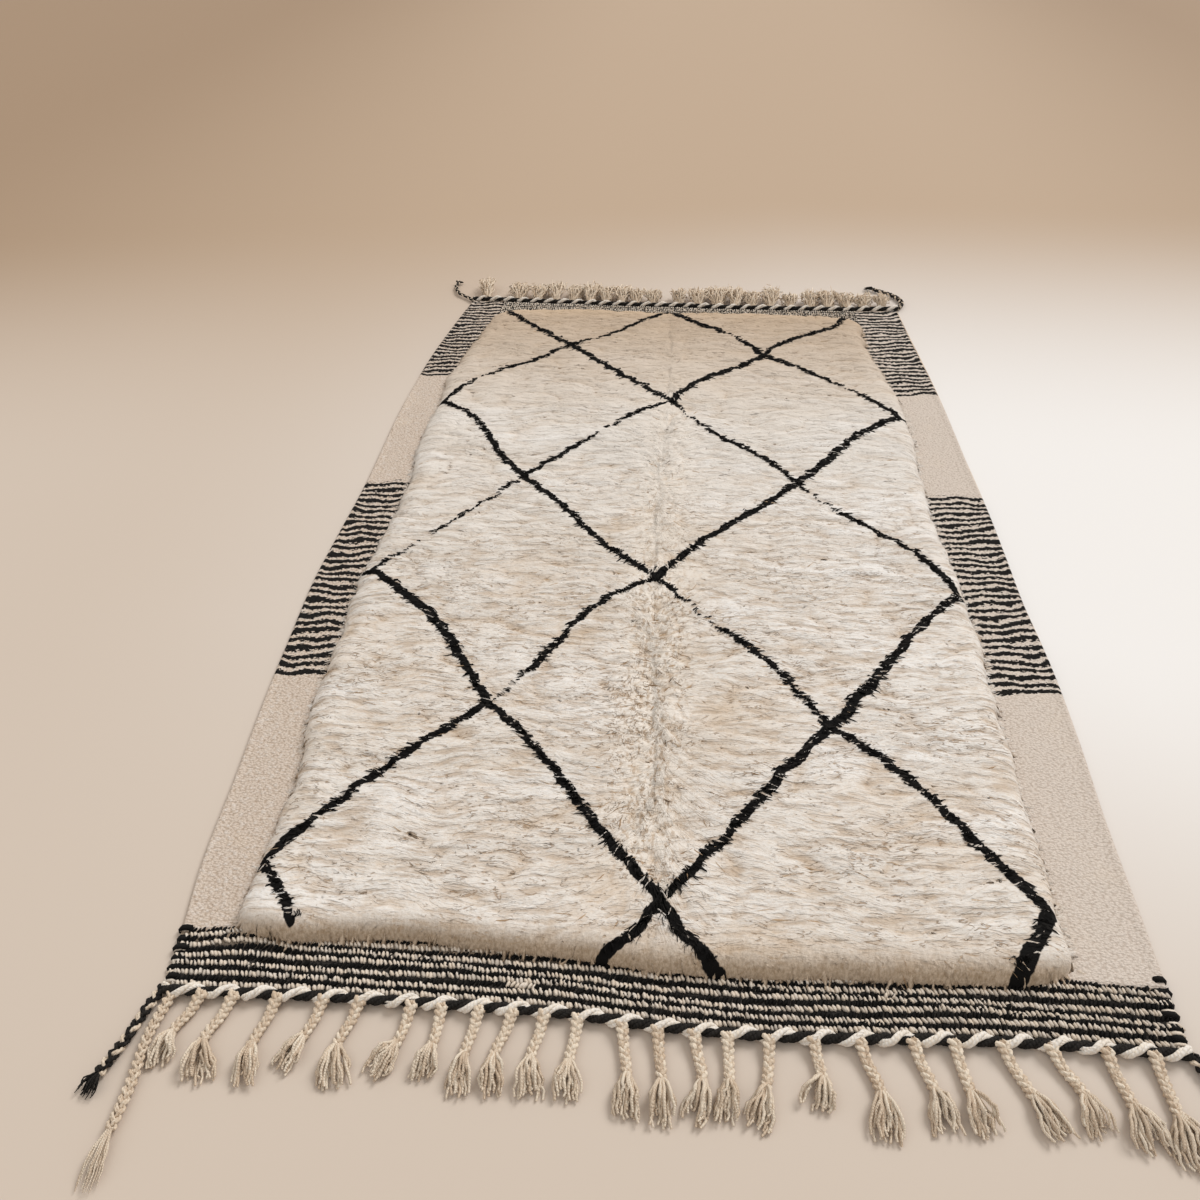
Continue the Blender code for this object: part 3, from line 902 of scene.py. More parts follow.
def put_map(mesh, name, places):
    """A map of the mesh, from the place of each of its points."""
    corners = np.empty(len(mesh.loops), dtype=np.int32)
    mesh.loops.foreach_get("vertex_index", corners)
    mesh.uv_layers.new(name=name).data.foreach_set("uv", places[corners].ravel())


def plan_map(piece):
    """A map of the piece seen from above, for what lies over and under itself."""
    mesh = piece.data
    points = np.empty(len(mesh.vertices) * 3)
    mesh.vertices.foreach_get("co", points)
    points = points.reshape(-1, 3)[:, :2]
    low, high = points.min(axis=0), points.max(axis=0)
    put_map(mesh, "OFBake", (points - low) / (high - low))


def settle(piece, replaced=()):
    """The piece rides on the rug, and stands for the solids that it replaces, which are hidden."""
    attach(piece, "root")
    if replaced:
        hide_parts(*replaced)


def make(name, paths, tree, values, replaced=()):
    """A piece that a tree grows along paths, settled on the rug."""
    source = curve_object("paths", paths)
    piece = grow(name, source, tree, values)
    drop(source)
    settle(piece, replaced)


def make_wool(name, source, tree, values):
    """A piece of loose wool that a tree grows on a source, settled on the rug."""
    piece = grow(name, source, tree, values)
    plan_map(piece)
    settle(piece)


def grid_object(name, points, material, values=(), maps=()):
    """A surface through a grid of points, with numbers for each point and maps."""
    rows, columns = points.shape[:2]
    first = np.arange(rows * columns).reshape(rows, columns)
    faces = np.stack([first[:-1, :-1], first[:-1, 1:], first[1:, 1:], first[1:, :-1]], axis=-1)
    mesh = bpy.data.meshes.new(name)
    mesh.from_pydata(points.reshape(-1, 3).tolist(), [], faces.reshape(-1, 4).tolist())
    for key, value in values:
        kind = "FLOAT_VECTOR" if value.ndim == 3 else "FLOAT"
        field = "vector" if value.ndim == 3 else "value"
        mesh.attributes.new(key, kind, "POINT").data.foreach_set(field, value.ravel())
    for key, value in maps:
        put_map(mesh, key, value.reshape(-1, 2))
    mesh.shade_smooth()
    mesh.materials.append(material)
    return link(name, mesh)


def ringed_shape(name, rings, tips, shades, collection):
    """A closed small shape of rings of points. A tip ends it in a point, and None in a flat cap."""
    bm = bmesh.new()
    shade = bm.verts.layers.float.new("shade")
    fibre = bm.loops.layers.uv.new("Fibre")
    count, last = len(rings[0]), len(rings) - 1
    loops = []
    for ring, values in zip(rings, shades):
        loops.append([bm.verts.new(point) for point in ring])
        for vertex, value in zip(loops[-1], values):
            vertex[shade] = value

    def face(vertices, places):
        """A face, and the place of its corners: rings along, and points around."""
        made = bm.faces.new(vertices)
        for corner, (along, around) in zip(made.loops, places):
            corner[fibre].uv = (along / (last + 1), around / count)

    for i, (lower, upper) in enumerate(zip(loops, loops[1:])):
        for k in range(count):
            n = (k + 1) % count
            places = ((i, k), (i, k + 1), (i + 1, k + 1), (i + 1, k))
            face((lower[k], lower[n], upper[n], upper[k]), places)
    for tip, ring, start in zip(tips, (loops[0], loops[-1]), (0, last)):
        if tip is None:
            face(ring, [(start, k) for k in range(count)])
            continue
        point = bm.verts.new(tip)
        point[shade] = 1.0
        end = start + (1 if start else -1)
        for k in range(count):
            n = (k + 1) % count
            face((ring[k], ring[n], point), ((start, k), (start, k + 1), (end, k + 0.5)))
    bmesh.ops.recalc_face_normals(bm, faces=bm.faces)
    mesh = bpy.data.meshes.new(name)
    bm.to_mesh(mesh)
    bm.free()
    mesh.shade_smooth()
    obj = bpy.data.objects.new(name, mesh)
    collection.objects.link(obj)
    return obj


def shape_collection(name):
    collection = bpy.data.collections.new(name)
    bpy.context.scene.collection.children.link(collection)
    return collection


def drop_collection(collection):
    drop(*collection.objects)
    bpy.data.collections.remove(collection)


LOCK_RINGS = (
    # along, half width, height of the crown, height of its sides
    (0.00, 0.26, -1.20, -2.80),
    (0.34, 0.50, 1.00, -2.40),
    (0.72, 0.38, 0.70, -2.20),
)


def lock_shapes():
    """Locks of wool, one long, lying along +X: a crowned strand that narrows to a wisp."""
    collection = shape_collection("lock shapes")
    for number, (sway, tip_height) in enumerate(((-0.55, -1.10), (0.10, -0.20), (0.65, -0.70))):
        rings, shades = [], []
        for along, half_width, crown, side in LOCK_RINGS:
            aside = sway * along**2 * 0.6
            left, right = aside - half_width, aside + half_width
            rings.append([(along, left, side), (along, aside, crown), (along, right, side)])
            # Shade numbers for painted shade: lower on a lock's sides and towards its root.
            shades.append([0.42, 0.70 + 0.30 * along, 0.42])
        tips = (None, (1.0, sway, tip_height))
        ringed_shape(f"lock_{number}", rings, tips, shades, collection)
    return collection


def lay_locks(graph, points, lay, sizes, shapes, loose, wave, bed, seed, shaded=0.0):
    """Instances of the lock shapes on points, lying the wool's way, waved and pressed onto the bed.
    A share of them, shaded, are thin dark strands that stand for the shade between the clumps."""
    length, width, height = sizes
    points = graph.store(points, "tint", graph.random(0.0, 1.0, seed + 9))
    points = graph.store(points, "shaded", graph.random(0.0, 1.0, seed + 10) < shaded)
    width = width * (1.0 - graph.named("shaded") * 0.62)
    rotation = graph.heading(lay, graph.random(-1.0, 1.0, seed + 3) * loose)
    scale = graph.varied((length, width, height), LOCK_VARIETY, seed + 6)
    points = graph.put(points, graph.vector("MULTIPLY", graph.position(), IN_PLAN))
    locks = graph.realized(graph.planted(points, shapes, rotation, scale))
    place = graph.position()
    bend = graph.wobble(place, (30.0, 55.0, 0.0), wave * 2.0)
    fine = graph.wobble(place, (90.0, 140.0, 0.0), wave)
    offset = graph.vector("MULTIPLY", graph.vector("ADD", bend, fine), IN_PLAN)
    locks = graph.move(locks, offset)
    x, y, rise = graph.parts(graph.position())
    inputs = {
        "Target Geometry": bed, "Attribute": graph.named("relief"),
        "Source Position": graph.xyz(x, y, 0.1), "Ray Direction": (0.0, 0.0, -1.0),
        "Ray Length": 1.0,
    }
    ray = graph.node("GeometryNodeRaycast", {"data_type": "FLOAT"}, inputs)
    _, _, under = graph.parts(ray["Hit Position"])
    under = graph.maths("MAXIMUM", under, GROUND)
    missed = 1.0 - ray["Is Hit"]
    locks = graph.store(locks, "relief", ray["Attribute"] + missed * 0.6)
    # The locks rise along the bed's normal, so that they stand off its walls as well.
    out_x, out_y, out_z = graph.parts(ray["Hit Normal"])
    high = graph.maths("MAXIMUM", under + (out_z + missed) * rise, GROUND * 0.8)
    return graph.put(locks, graph.xyz(x + out_x * rise, y + out_y * rise, high))


def pile_tree():
    """Locks of wool over a bed, kept clear of the lattice's lines."""
    graph = GeometryGraph("Wool pile")
    near = graph.argument("Near", "Geometry")
    beyond, lines = graph.arguments("Far", "Lines", kind="Object")
    shapes = graph.argument("Shapes", "Collection")
    spacing, length, width, height = graph.arguments("Spacing", "Length", "Width", "Height")
    clear, wave, from_x, to_x = graph.arguments("Clear Of Lines", "Wave", "From X", "To X")
    bed = graph.joined(near, graph.shape_of(beyond))
    settings = {"distribute_method": "POISSON"}
    inputs = {"Mesh": bed, "Distance Min": spacing, "Density Max": MOST_LOCKS, "Seed": 7}
    scatter = graph.node("GeometryNodeDistributePointsOnFaces", settings, inputs)
    drawn = graph.node("GeometryNodeCurveToMesh", {}, {"Curve": graph.shape_of(lines)})["Mesh"]
    place = graph.position()
    lay = graph.named("lay", "FLOAT_VECTOR")

    def line_distance(share):
        """How far a lock is from the nearest line, at a share of its length."""
        sample = graph.vector("ADD", place, graph.scaled(lay, length * share))
        inputs = {"Geometry": drawn, "Sample Position": sample}
        return graph.node("GeometryNodeProximity", {"target_element": "EDGES"}, inputs)["Distance"]

    root = line_distance(0.0)
    nearest = graph.maths("MINIMUM", line_distance(0.5), line_distance(0.9))
    room = graph.rise(nearest, clear * 0.8, clear * 2.6)
    x, y, _ = graph.parts(place)
    edge = graph.named("edge")
    gone = (root < clear) + (x < from_x) + (x > to_x) + (edge > 0.93)
    points = graph.without(scatter["Points"], gone)
    ruffle = graph.named("ruffle")
    reach = length * (0.45 + room * 0.55) * (1.0 - ruffle * 0.30) * (1.0 - edge * 0.66)
    sizes = (reach, width, height * (1.0 + ruffle * 0.8 + edge * 0.9))
    patch = graph.noise(place, (6.0, 9.0, 0.0))
    shaded = (0.02 + graph.rise(patch, 0.48, 0.66) * 0.12 + ruffle * 0.26) * (1.0 - edge)
    shaded = shaded * (1.0 - graph.rise(y, *CALM_BEYOND) * 0.85)
    loose = 0.38 + ruffle * 1.4
    return graph.finish(lay_locks(graph, points, lay, sizes, shapes, loose, wave, bed, 20, shaded))


def line_tree():
    """Locks of black wool along the lattice's lines."""
    graph = GeometryGraph("Black wool lines")
    lines = graph.argument("Lines", "Geometry")
    near, beyond = graph.arguments("Near", "Far", kind="Object")
    shapes = graph.argument("Shapes", "Collection")
    spacing, half_width, wave = graph.arguments("Spacing", "Half Width", "Wave")
    length, width, height = graph.arguments("Length", "Width", "Height")
    walk = graph.walk(graph.store(lines, "weight", graph.radius()), spacing)
    weight = graph.named("weight")
    points = graph.without(walk["Points"], graph.random(0.0, 1.0, 41) > (weight * 1.15))
    bed = graph.joined(graph.shape_of(near), graph.shape_of(beyond))
    lay = graph.under(bed, "lay", "FLOAT_VECTOR")
    size = 0.55 + weight * 0.45
    reach = length * size
    aside = graph.random(-1.0, 1.0, 42)
    offset = graph.scaled(graph.rightward(walk["Tangent"]), aside * half_width * weight)
    points = graph.move(points, graph.vector("ADD", offset, graph.scaled(lay, reach * -0.5)))
    edge = graph.under(bed, "edge")
    points = graph.without(points, edge > 0.88)
    sizes = (reach * (1.0 - edge * 0.55), width * size, height)
    return graph.finish(lay_locks(graph, points, lay, sizes, shapes, 0.42, wave, bed, 50))


def skirt_tree():
    """Wisps of wool along the pile's foot that lie outwards over the weave beside it."""
    graph = GeometryGraph("Pile skirt")
    feet = graph.argument("Feet", "Geometry")
    beside = graph.argument("Beside", "Object")
    shapes = graph.argument("Shapes", "Collection")
    spacing, wave = graph.arguments("Spacing", "Wave")
    sizes = graph.arguments("Length", "Width", "Height")
    walk = graph.walk(feet, spacing)
    out = graph.rightward(walk["Tangent"])
    points = graph.move(walk["Points"], graph.scaled(out, graph.random(-0.007, 0.004, 43)))
    weave = graph.shape_of(beside)
    return graph.finish(lay_locks(graph, points, out, sizes, shapes, 0.7, wave, weave, 90))


def strand_tree():
    """Yarns that wind round one another along each path: a twist, or a flat plait of three."""
    graph = GeometryGraph("Wound strands")
    paths = graph.argument("Paths", "Geometry")
    strands, plies, sides = graph.arguments("Strands", "Plies", "Sides", kind="Int")
    first, step, turn, lobes = graph.arguments("First Phase", "Phase Step", "Turn Length", "Lobes")
    half_width, half_height = graph.arguments("Half Width", "Half Height")
    ply_offset, ply_turn = graph.arguments("Ply Offset", "Ply Turn Length")
    yarn, spacing = graph.arguments("Yarn Radius", "Spacing")
    walk = graph.resampled(paths, "LENGTH", "Length", spacing)
    copies = graph.copies(walk, strands * plies)
    index = copies["Duplicate Index"]
    strand = graph.maths("FLOOR", (index + 0.01) / plies)
    ply = index - strand * plies
    tangent = graph.tangent()
    side = graph.vector("NORMALIZE", graph.rightward(tangent))
    up = graph.vector("CROSS_PRODUCT", side, tangent)
    length = graph.along("Length")
    taper = graph.radius()
    angle = 2 * math.pi * (length / turn + first + strand * step)
    spin = 2 * math.pi * (length / ply_turn + ply / plies)
    wide = graph.maths("COSINE", angle) * half_width + graph.maths("COSINE", spin) * ply_offset
    high = graph.maths("SINE", angle * lobes) * half_height + graph.maths("SINE", spin) * ply_offset
    offset = graph.vector("ADD", graph.scaled(side, wide * taper), graph.scaled(up, high * taper))
    tinted = graph.store(copies["Geometry"], "tint", graph.random(0.0, 1.0, 61), "CURVE")
    tinted = graph.store(tinted, "along", length)
    return graph.finish(graph.tube(graph.move(tinted, offset), sides, yarn * taper))


def tassel_tree():
    """Loose wavy strands that fan out along each path."""
    graph = GeometryGraph("Fanned strands")
    paths = graph.argument("Paths", "Geometry")
    strands, sides, points, seed = graph.arguments("Strands", "Sides", "Points", "Seed", kind="Int")
    spread, height, wave = graph.arguments("Spread", "Height", "Wave")
    yarn, tip = graph.arguments("Yarn Radius", "Tip Share")
    walk = graph.resampled(paths, "COUNT", "Count", points)
    walk = graph.store(walk, "fan", graph.radius())
    copies = graph.copies(walk, strands)["Geometry"]
    for number, name in enumerate(("aside", "above", "reach", "tint")):
        low = -1.0 if name == "aside" else 0.0
        copies = graph.store(copies, name, graph.random(low, 1.0, seed + number), "CURVE")
    factor, length = graph.along("Factor"), graph.along("Length")
    tangent = graph.tangent()
    side = graph.vector("NORMALIZE", graph.rightward(tangent))
    aside, above, reach = graph.named("aside"), graph.named("above"), graph.named("reach")
    opened = 0.22 + 0.78 * graph.maths("SINE", factor * 1.75)
    wide = aside * opened * graph.named("fan") * spread
    shorter = (reach - 1.0) * 0.38 * length
    arch = graph.maths("SINE", graph.maths("MINIMUM", factor * 1.15, 1.0) * math.pi)
    high = (above - 0.15) * height * (0.35 + arch * 0.65)
    offset = graph.vector("ADD", graph.scaled(side, wide), graph.scaled(tangent, shorter))
    offset = graph.vector("ADD", offset, graph.xyz(0.0, 0.0, high))
    # Each strand reads the wave somewhere else, so that no two wave alike.
    elsewhere = graph.xyz(aside * 3.0, above * 3.0, reach * 3.0)
    place = graph.vector("ADD", graph.position(), elsewhere)
    bend = graph.wobble(place, (75.0, 75.0, 75.0), wave * opened, 2.0, 0.6)
    strand = graph.store(copies, "along", length)
    strand = graph.move(strand, graph.vector("ADD", offset, bend))
    x, y, z = graph.parts(graph.position())
    lying = graph.maths("MAXIMUM", z, yarn * 0.8 + FLOOR_GAP)
    strand = graph.put(strand, graph.xyz(x, y, lying))
    thickness = yarn * (1.0 - factor**3.0 * (1.0 - tip))
    return graph.finish(graph.tube(strand, sides, thickness))


def stitch_tree():
    """A stitch at each step along every row, slanting the other way in the next row."""
    graph = GeometryGraph("Stitched rows")
    rows = graph.argument("Rows", "Geometry")
    shapes = graph.argument("Shapes", "Collection")
    pitch, slant, jitter = graph.arguments("Pitch", "Slant", "Jitter")
    sizes = graph.arguments("Length", "Width", "Height")
    walk = graph.walk(graph.store(rows, "way", graph.radius()), pitch)
    way = graph.named("way") - 1.0
    turn = way * slant + graph.random(-0.25, 0.25, 71) * slant
    rotation = graph.heading(walk["Tangent"], turn)
    wander = graph.varied((jitter, jitter, jitter), STITCH_WANDER, 72)
    points = graph.move(walk["Points"], wander)
    scale = graph.varied(sizes, STITCH_VARIETY, 75)
    stitches = graph.planted(points, shapes, rotation, scale)
    return graph.finish(graph.store(stitches, "tint", graph.random(0.0, 1.0, 78), "INSTANCE"))


def surface(name, roughness, gloss, paint):
    """A material. paint gives its colour and the height of its fine relief, in metres or None."""
    material = bpy.data.materials.new(name)
    material.use_nodes = True
    graph = Graph(material.node_tree)
    shader = graph.tree.nodes["Principled BSDF"]
    shader.inputs["Roughness"].default_value = roughness
    shader.inputs["Specular IOR Level"].default_value = gloss
    colour, height = paint(graph)
    graph.feed(shader.inputs["Base Color"], colour)
    if height is not None:
        inputs = {"Strength": 1.0, "Distance": 1.0, "Height": height}
        bump = graph.node("ShaderNodeBump", {}, inputs)
        graph.feed(shader.inputs["Normal"], bump["Normal"])
    return material


def wool(name, roughness, paint):
    return surface(name, roughness, 0.15, paint)


def fibre_relief(graph, depth):
    """Fine strands along each lock."""
    tint = graph.attribute("tint")
    streaks = graph.vector("MULTIPLY", graph.map_place("Fibre"), (2.2, 7.0, 1.0))
    streaks = graph.vector("ADD", streaks, graph.xyz(tint * 31.0, tint * 17.0, 0.0))
    return graph.noise(streaks, 1.0, 2.0, 0.6) * depth


def crimp(graph):
    """The small curls of combed wool, 0 to 1."""
    return graph.noise(graph.place(), (150.0, 290.0, 0.0), 3.0, 0.62)


def furrows(graph):
    """The long creases between the clumps of wool: 0 in them, 1 beside them."""
    place = graph.place()
    place = graph.vector("ADD", place, graph.wobble(place, (9.0, 12.0, 0.0), 0.045))
    return graph.rise(graph.noise(place, (19.0, 82.0, 0.0), 3.0, 0.58), 0.34, 0.52)


def nicks(graph):
    """Short thin creases, 1 in them: along the combed wool, and every way in the curly wool."""
    place = graph.place()
    x, y, _ = graph.parts(place)
    place = graph.vector("ADD", place, graph.wobble(place, (32.0, 40.0, 0.0), 0.016))
    combed = graph.noise(place, (44.0, 150.0, 0.0))
    curled = graph.noise(place, (150.0, 85.0, 0.0))
    curly = curly_zone(graph, x, y)
    thin = graph.fall(abs(combed + (curled - combed) * curly - 0.5), 0.008, 0.034)
    broken = graph.noise(place, (60.0, 95.0, 0.0), 2.0, 0.6)
    clumps = graph.noise(place, (7.0, 11.0, 0.0))
    kept = graph.rise(broken + (clumps - 0.5) * 0.6 + curly * 0.04, 0.55, 0.63)
    return thin * kept * (1.0 - graph.rise(y, *CALM_BEYOND) * 0.75)


def fleece(graph, colours, openness, spread):
    """The colour of ivory wool, from how pale it is over its neighbours, with painted shade where
    it lies less open.
    """
    place = graph.place()
    x, y, z = graph.parts(place)
    lively = 1.0 - graph.rise(y, *CALM_BEYOND) * 0.70
    # Slow tan patches and streaks, and pale ones over them, most of all at the right.
    patch = graph.noise(place, (2.2, 3.4, 1.0), 3.0, 0.6)
    colour = graph.mix(graph.rise(patch, 0.48, 0.72) * 0.45 * lively, colours.ivory, colours.tan)
    streak = graph.noise(place, (7.0, 34.0, 1.0), 3.0, 0.6)
    colour = graph.mix(graph.rise(streak, 0.52, 0.80) * 0.30 * lively, colour, colours.tan)
    pale = graph.rise(graph.noise(place, (3.9, 11.7, 1.3)), 0.48, 0.70) * 0.8
    paler = graph.rise(x, 0.0, 0.3) * graph.fall(abs(y + 0.30), 0.20, 0.60) * 0.45
    colour = graph.mix(pale + spread + paler, colour, colours.pale)
    # Painted shade in the creases between the locks, and in the dips of the wool's crimp.
    openness = 1.0 - (1.0 - openness) * (0.25 + lively * 0.60)
    colour = graph.mix(openness, colours.crease_shade, colour)
    crimped = graph.fall(crimp(graph), 0.34, 0.52) * 0.26 * lively
    colour = graph.mix(crimped, colour, colours.crease_shade)
    # Warm curly wool along the parting, with painted shade where it lies less open.
    curly = curly_zone(graph, x, y)
    warm = graph.mix(graph.rise(openness, 0.35, 0.95), colours.crease_shade, colours.warm)
    colour = graph.mix(curly * 0.70, colour, warm)
    # Painted shade in the long creases between the clumps, and in short thin ones.
    curls = graph.fall(graph.noise(place, (130.0, 75.0, 0.0), 2.0, 0.55), 0.34, 0.48)
    creased = (1.0 - furrows(graph)) * 0.62 * (1.0 - curly) + curls * curly * 0.8
    colour = graph.mix(creased * lively, colour, colours.gap)
    colour = graph.mix(nicks(graph) * 0.65, colour, colours.crack_shade)
    # The wool gets darker towards its far end.
    colour = graph.mix(graph.rise(y, 0.20, 0.85) * 0.55, colour, colours.tan)
    colour = graph.mix(graph.rise(y, 0.30, 0.80) * 0.75, colour, colours.gap)
    colour = graph.mix(graph.rise(y + x * 0.04, 0.80, 0.87) * 0.6, colour, colours.crease_shade)
    # Painted shade: its walls are brown at their foot, the near one further up than the side ones.
    mottle = graph.noise(place, (300.0, 170.0, 170.0), 4.0, 0.7)
    brown = graph.mix(graph.rise(mottle, 0.38, 0.74), colours.foot, colours.tan)
    front = graph.fall(y, -0.935, -0.905)
    low = graph.fall(z + (mottle - 0.5) * 0.010 - front * 0.014, 0.006, 0.0315)
    side = graph.rise(abs(x + 0.030), 0.420, 0.445) * (1.0 - front)
    return graph.mix(low * (0.9 - side * 0.75), colour, brown)


def curly_zone(graph, x, y):
    """1 along the parting, where the wool curls every way, and 0 away from it."""
    beside = graph.fall(abs(x + 0.020), 0.018, 0.080)
    return beside * graph.rise(y, -0.90, -0.80) * (1.0 - graph.rise(y, -0.30, 0.45) * 0.6)


def ivory_locks(colours):
    """Loose ivory locks."""

    def paint(graph):
        crown = graph.attribute("shade")
        relief = graph.attribute("relief")
        tint = graph.attribute("tint")
        # Painted shade: the crease colour on a lock's low sides and where it lies over the bed's
        # creases.
        openness = graph.rise(crown * 0.30 + relief * 0.80, 0.02, 0.66)
        colour = fleece(graph, colours, openness, (tint - 0.5) * 0.25)
        # Painted shade along the sides of each lock.
        colour = graph.mix(graph.fall(crown, 0.44, 0.66) * 0.8, colour, colours.gap)
        # Painted shade between the clumps: the shaded strands are dark brown.
        dark = graph.mix(graph.rise(tint, 0.15, 1.0), colours.crack_shade, colours.crease_shade)
        shaded = graph.attribute("shaded") * graph.rise(crown, 0.30, 0.62) * 0.9
        colour = graph.mix(shaded, colour, dark)
        relief = crimp(graph) * 0.0012 + furrows(graph) * 0.0020 - nicks(graph) * 0.0012
        return colour, fibre_relief(graph, 0.0004) + relief

    return wool("ivory_lock_wool", 1.0, paint)


def matted_wool(colours):
    """Combed and matted ivory wool, its fine strands and thin creases following the comb."""

    def paint(graph):
        place = graph.place()
        drift = graph.wobble(place, 45.0, 0.010, 2.0)
        comb = graph.vector("ADD", graph.map_place("Comb"), drift)
        strands = graph.noise(comb, (480.0, 60.0, 1.0), 3.0, 0.6)
        wisps = graph.noise(comb, (120.0, 15.0, 1.0))
        down = graph.noise(place, (210.0, 90.0, 110.0), 4.0, 0.65)
        wall = graph.attribute("wall")
        strands = strands + (down - strands) * wall
        # Painted shade in thin creases along the comb, and in the matting's low places.
        crease_shade = 1.0 - graph.fall(abs(wisps - 0.5), 0.0, 0.05) * (1.0 - wall)
        openness = graph.rise(graph.attribute("relief") * 0.85 + strands * 0.45, 0.12, 0.66)
        colour = fleece(graph, colours, openness * (0.76 + crease_shade * 0.24), 0.0)
        ink = graph.rise(graph.attribute("ink") + (strands - 0.5) * 0.5, 0.40, 0.60)
        colour = graph.mix(ink, colour, colours.black)
        clumps = (furrows(graph) * 0.0020 - nicks(graph) * 0.0012) * (1.0 - wall)
        relief = strands * (0.0010 + wall * 0.0014) + crease_shade * 0.0005 + crimp(graph) * 0.0012
        return colour, relief + clumps

    return wool("matted_ivory_wool", 1.0, paint)


def black_pile(colours):
    """Black wool with some greyed and brown hairs, and a painted highlight on the crowns of its
    locks.
    """

    def paint(graph):
        # Charcoal at random hairs, most of all on the crowns: worn hairs, and a painted highlight
        # on the crowns.
        worn = graph.rise(graph.attribute("tint"), 0.3, 1.0) * graph.attribute("shade") * 0.6
        return graph.mix(worn, colours.black, colours.charcoal), fibre_relief(graph, 0.0005)

    return wool("black_pile_wool", 0.9, paint)


def stitch_wool(name, base, worn):
    """The yarn of a stitched row, a little worn here and there, with painted shade on the sides and
    undersides of its stitches.
    """

    def paint(graph):
        tint = graph.attribute("tint")
        grain = graph.noise(graph.place(), 900.0, 2.0, 0.6)
        share = graph.rise(tint * 0.5 + grain * 0.5, 0.40, 0.80)
        colour = graph.mix(share * 0.6, base, worn)
        # A darker colour: for a few dark flecks at random, and for painted shade on each stitch's
        # sides and underside.
        shade_and_flecks = [part * 0.55 for part in base]
        colour = graph.mix((tint > 0.80) * 0.6, colour, shade_and_flecks)
        return graph.mix(graph.attribute("shade"), shade_and_flecks, colour), grain * 0.0006

    return wool(name, 0.9, paint)


def yarn_wool(name, base, worn, twist=0.0030):
    """Spun yarn, its fibres winding round it."""

    def paint(graph):
        turned = graph.attribute("along") / twist + graph.attribute("around")
        wind = graph.maths("SINE", 2 * math.pi * turned)
        grain = graph.noise(graph.place(), 700.0, 2.0, 0.6)
        share = graph.attribute("tint") * 0.45 + grain * 0.55 - wind * 0.08
        colour = graph.mix(graph.rise(share, 0.30, 0.75), base, worn)
        return colour, wind * 0.00022 + grain * 0.0005

    return wool(name, 0.92, paint)


def border_wool(name, colours, blocks):
    """Nubby flat weave, with black stripes over the blocks of rows where it has them."""

    def paint(graph):
        place = graph.place()
        x, _, _ = graph.parts(place)
        _, v, _ = graph.parts(graph.map_place("Weave"))
        settings = {"feature": "F1", "voronoi_dimensions": "2D"}
        drawn_out = graph.vector("MULTIPLY", place, (1.0, 1.5, 1.0))
        inputs = {"Vector": drawn_out, "Scale": 225.0, "Randomness": 1.0}
        nubs = graph.node("ShaderNodeTexVoronoi", settings, inputs)
        nub = graph.fall(nubs["Distance"], 0.05, 0.75)
        lot, other, _ = graph.parts(nubs["Color"])
        edge = graph.noise(place, 190.0, 2.0, 0.6)
        count = v + (lot - 0.5) * 0.24 + (edge - 0.5) * 0.44
        black = (count % 1.0) < graph.attribute("bold")
        inside = 0.0
        for low, high in blocks:
            inside = inside + (v > float(low)) * (v < float(high))
        grain = graph.noise(place, 620.0, 3.0, 0.6)
        slow = graph.noise(place, 14.0, 3.0, 0.6)
        blotch = graph.noise(place, 330.0, 3.0, 0.7)
        # Painted shade in the hollows between the nubs, with random tone from the grain and the
        # blotches.
        open_weave = graph.rise(nub * 0.34 + grain * 0.30 + blotch * 0.62, 0.34, 0.72)
        plain = graph.mix(open_weave, colours.weave_hollow_shade, colours.weave)
        plain = graph.mix(graph.rise(slow, 0.55, 0.8) * 0.35, plain, colours.tan)
        pale_nubs = graph.rise(other, 0.72, 1.0) * 0.30
        paler = graph.maths("MAXIMUM", pale_nubs, graph.rise(x, 0.0, 0.5) * 0.22)
        plain = graph.mix(paler, plain, colours.pale)
        dark = graph.mix(graph.rise(grain, 0.45, 0.8), colours.black, colours.charcoal)
        colour = graph.mix(black * inside, plain, dark)
        return colour, nub * 0.0008 + grain * 0.0006 + blotch * 0.0016

    return wool(name, 0.95, paint)


def ground_wool(colours):
    """The flat weave underneath, warp and weft."""

    def paint(graph):
        place = graph.place()
        x, y, _ = graph.parts(place)
        warp = abs(graph.maths("SINE", math.pi * (x / WARP_PITCH)))
        weft = abs(graph.maths("SINE", math.pi * (y / WEFT_PITCH)))
        grain = graph.noise(place, 400.0, 3.0, 0.6)
        # Painted shade in the hollows between the warps, with random tone from the grain.
        share = graph.rise(warp * 0.5 + grain * 0.5, 0.2, 0.7)
        colour = graph.mix(share, colours.weave_hollow_shade, colours.tan)
        # Charcoal from the pile's near foot on: a black stripe there, and painted shade under the
        # pile's foot.
        colour = graph.mix(graph.fall(y, -0.950, -0.930), colour, colours.charcoal)
        return colour, warp * weft * 0.0007 + grain * 0.0003

    return wool("ground_weave_wool", 0.95, paint)


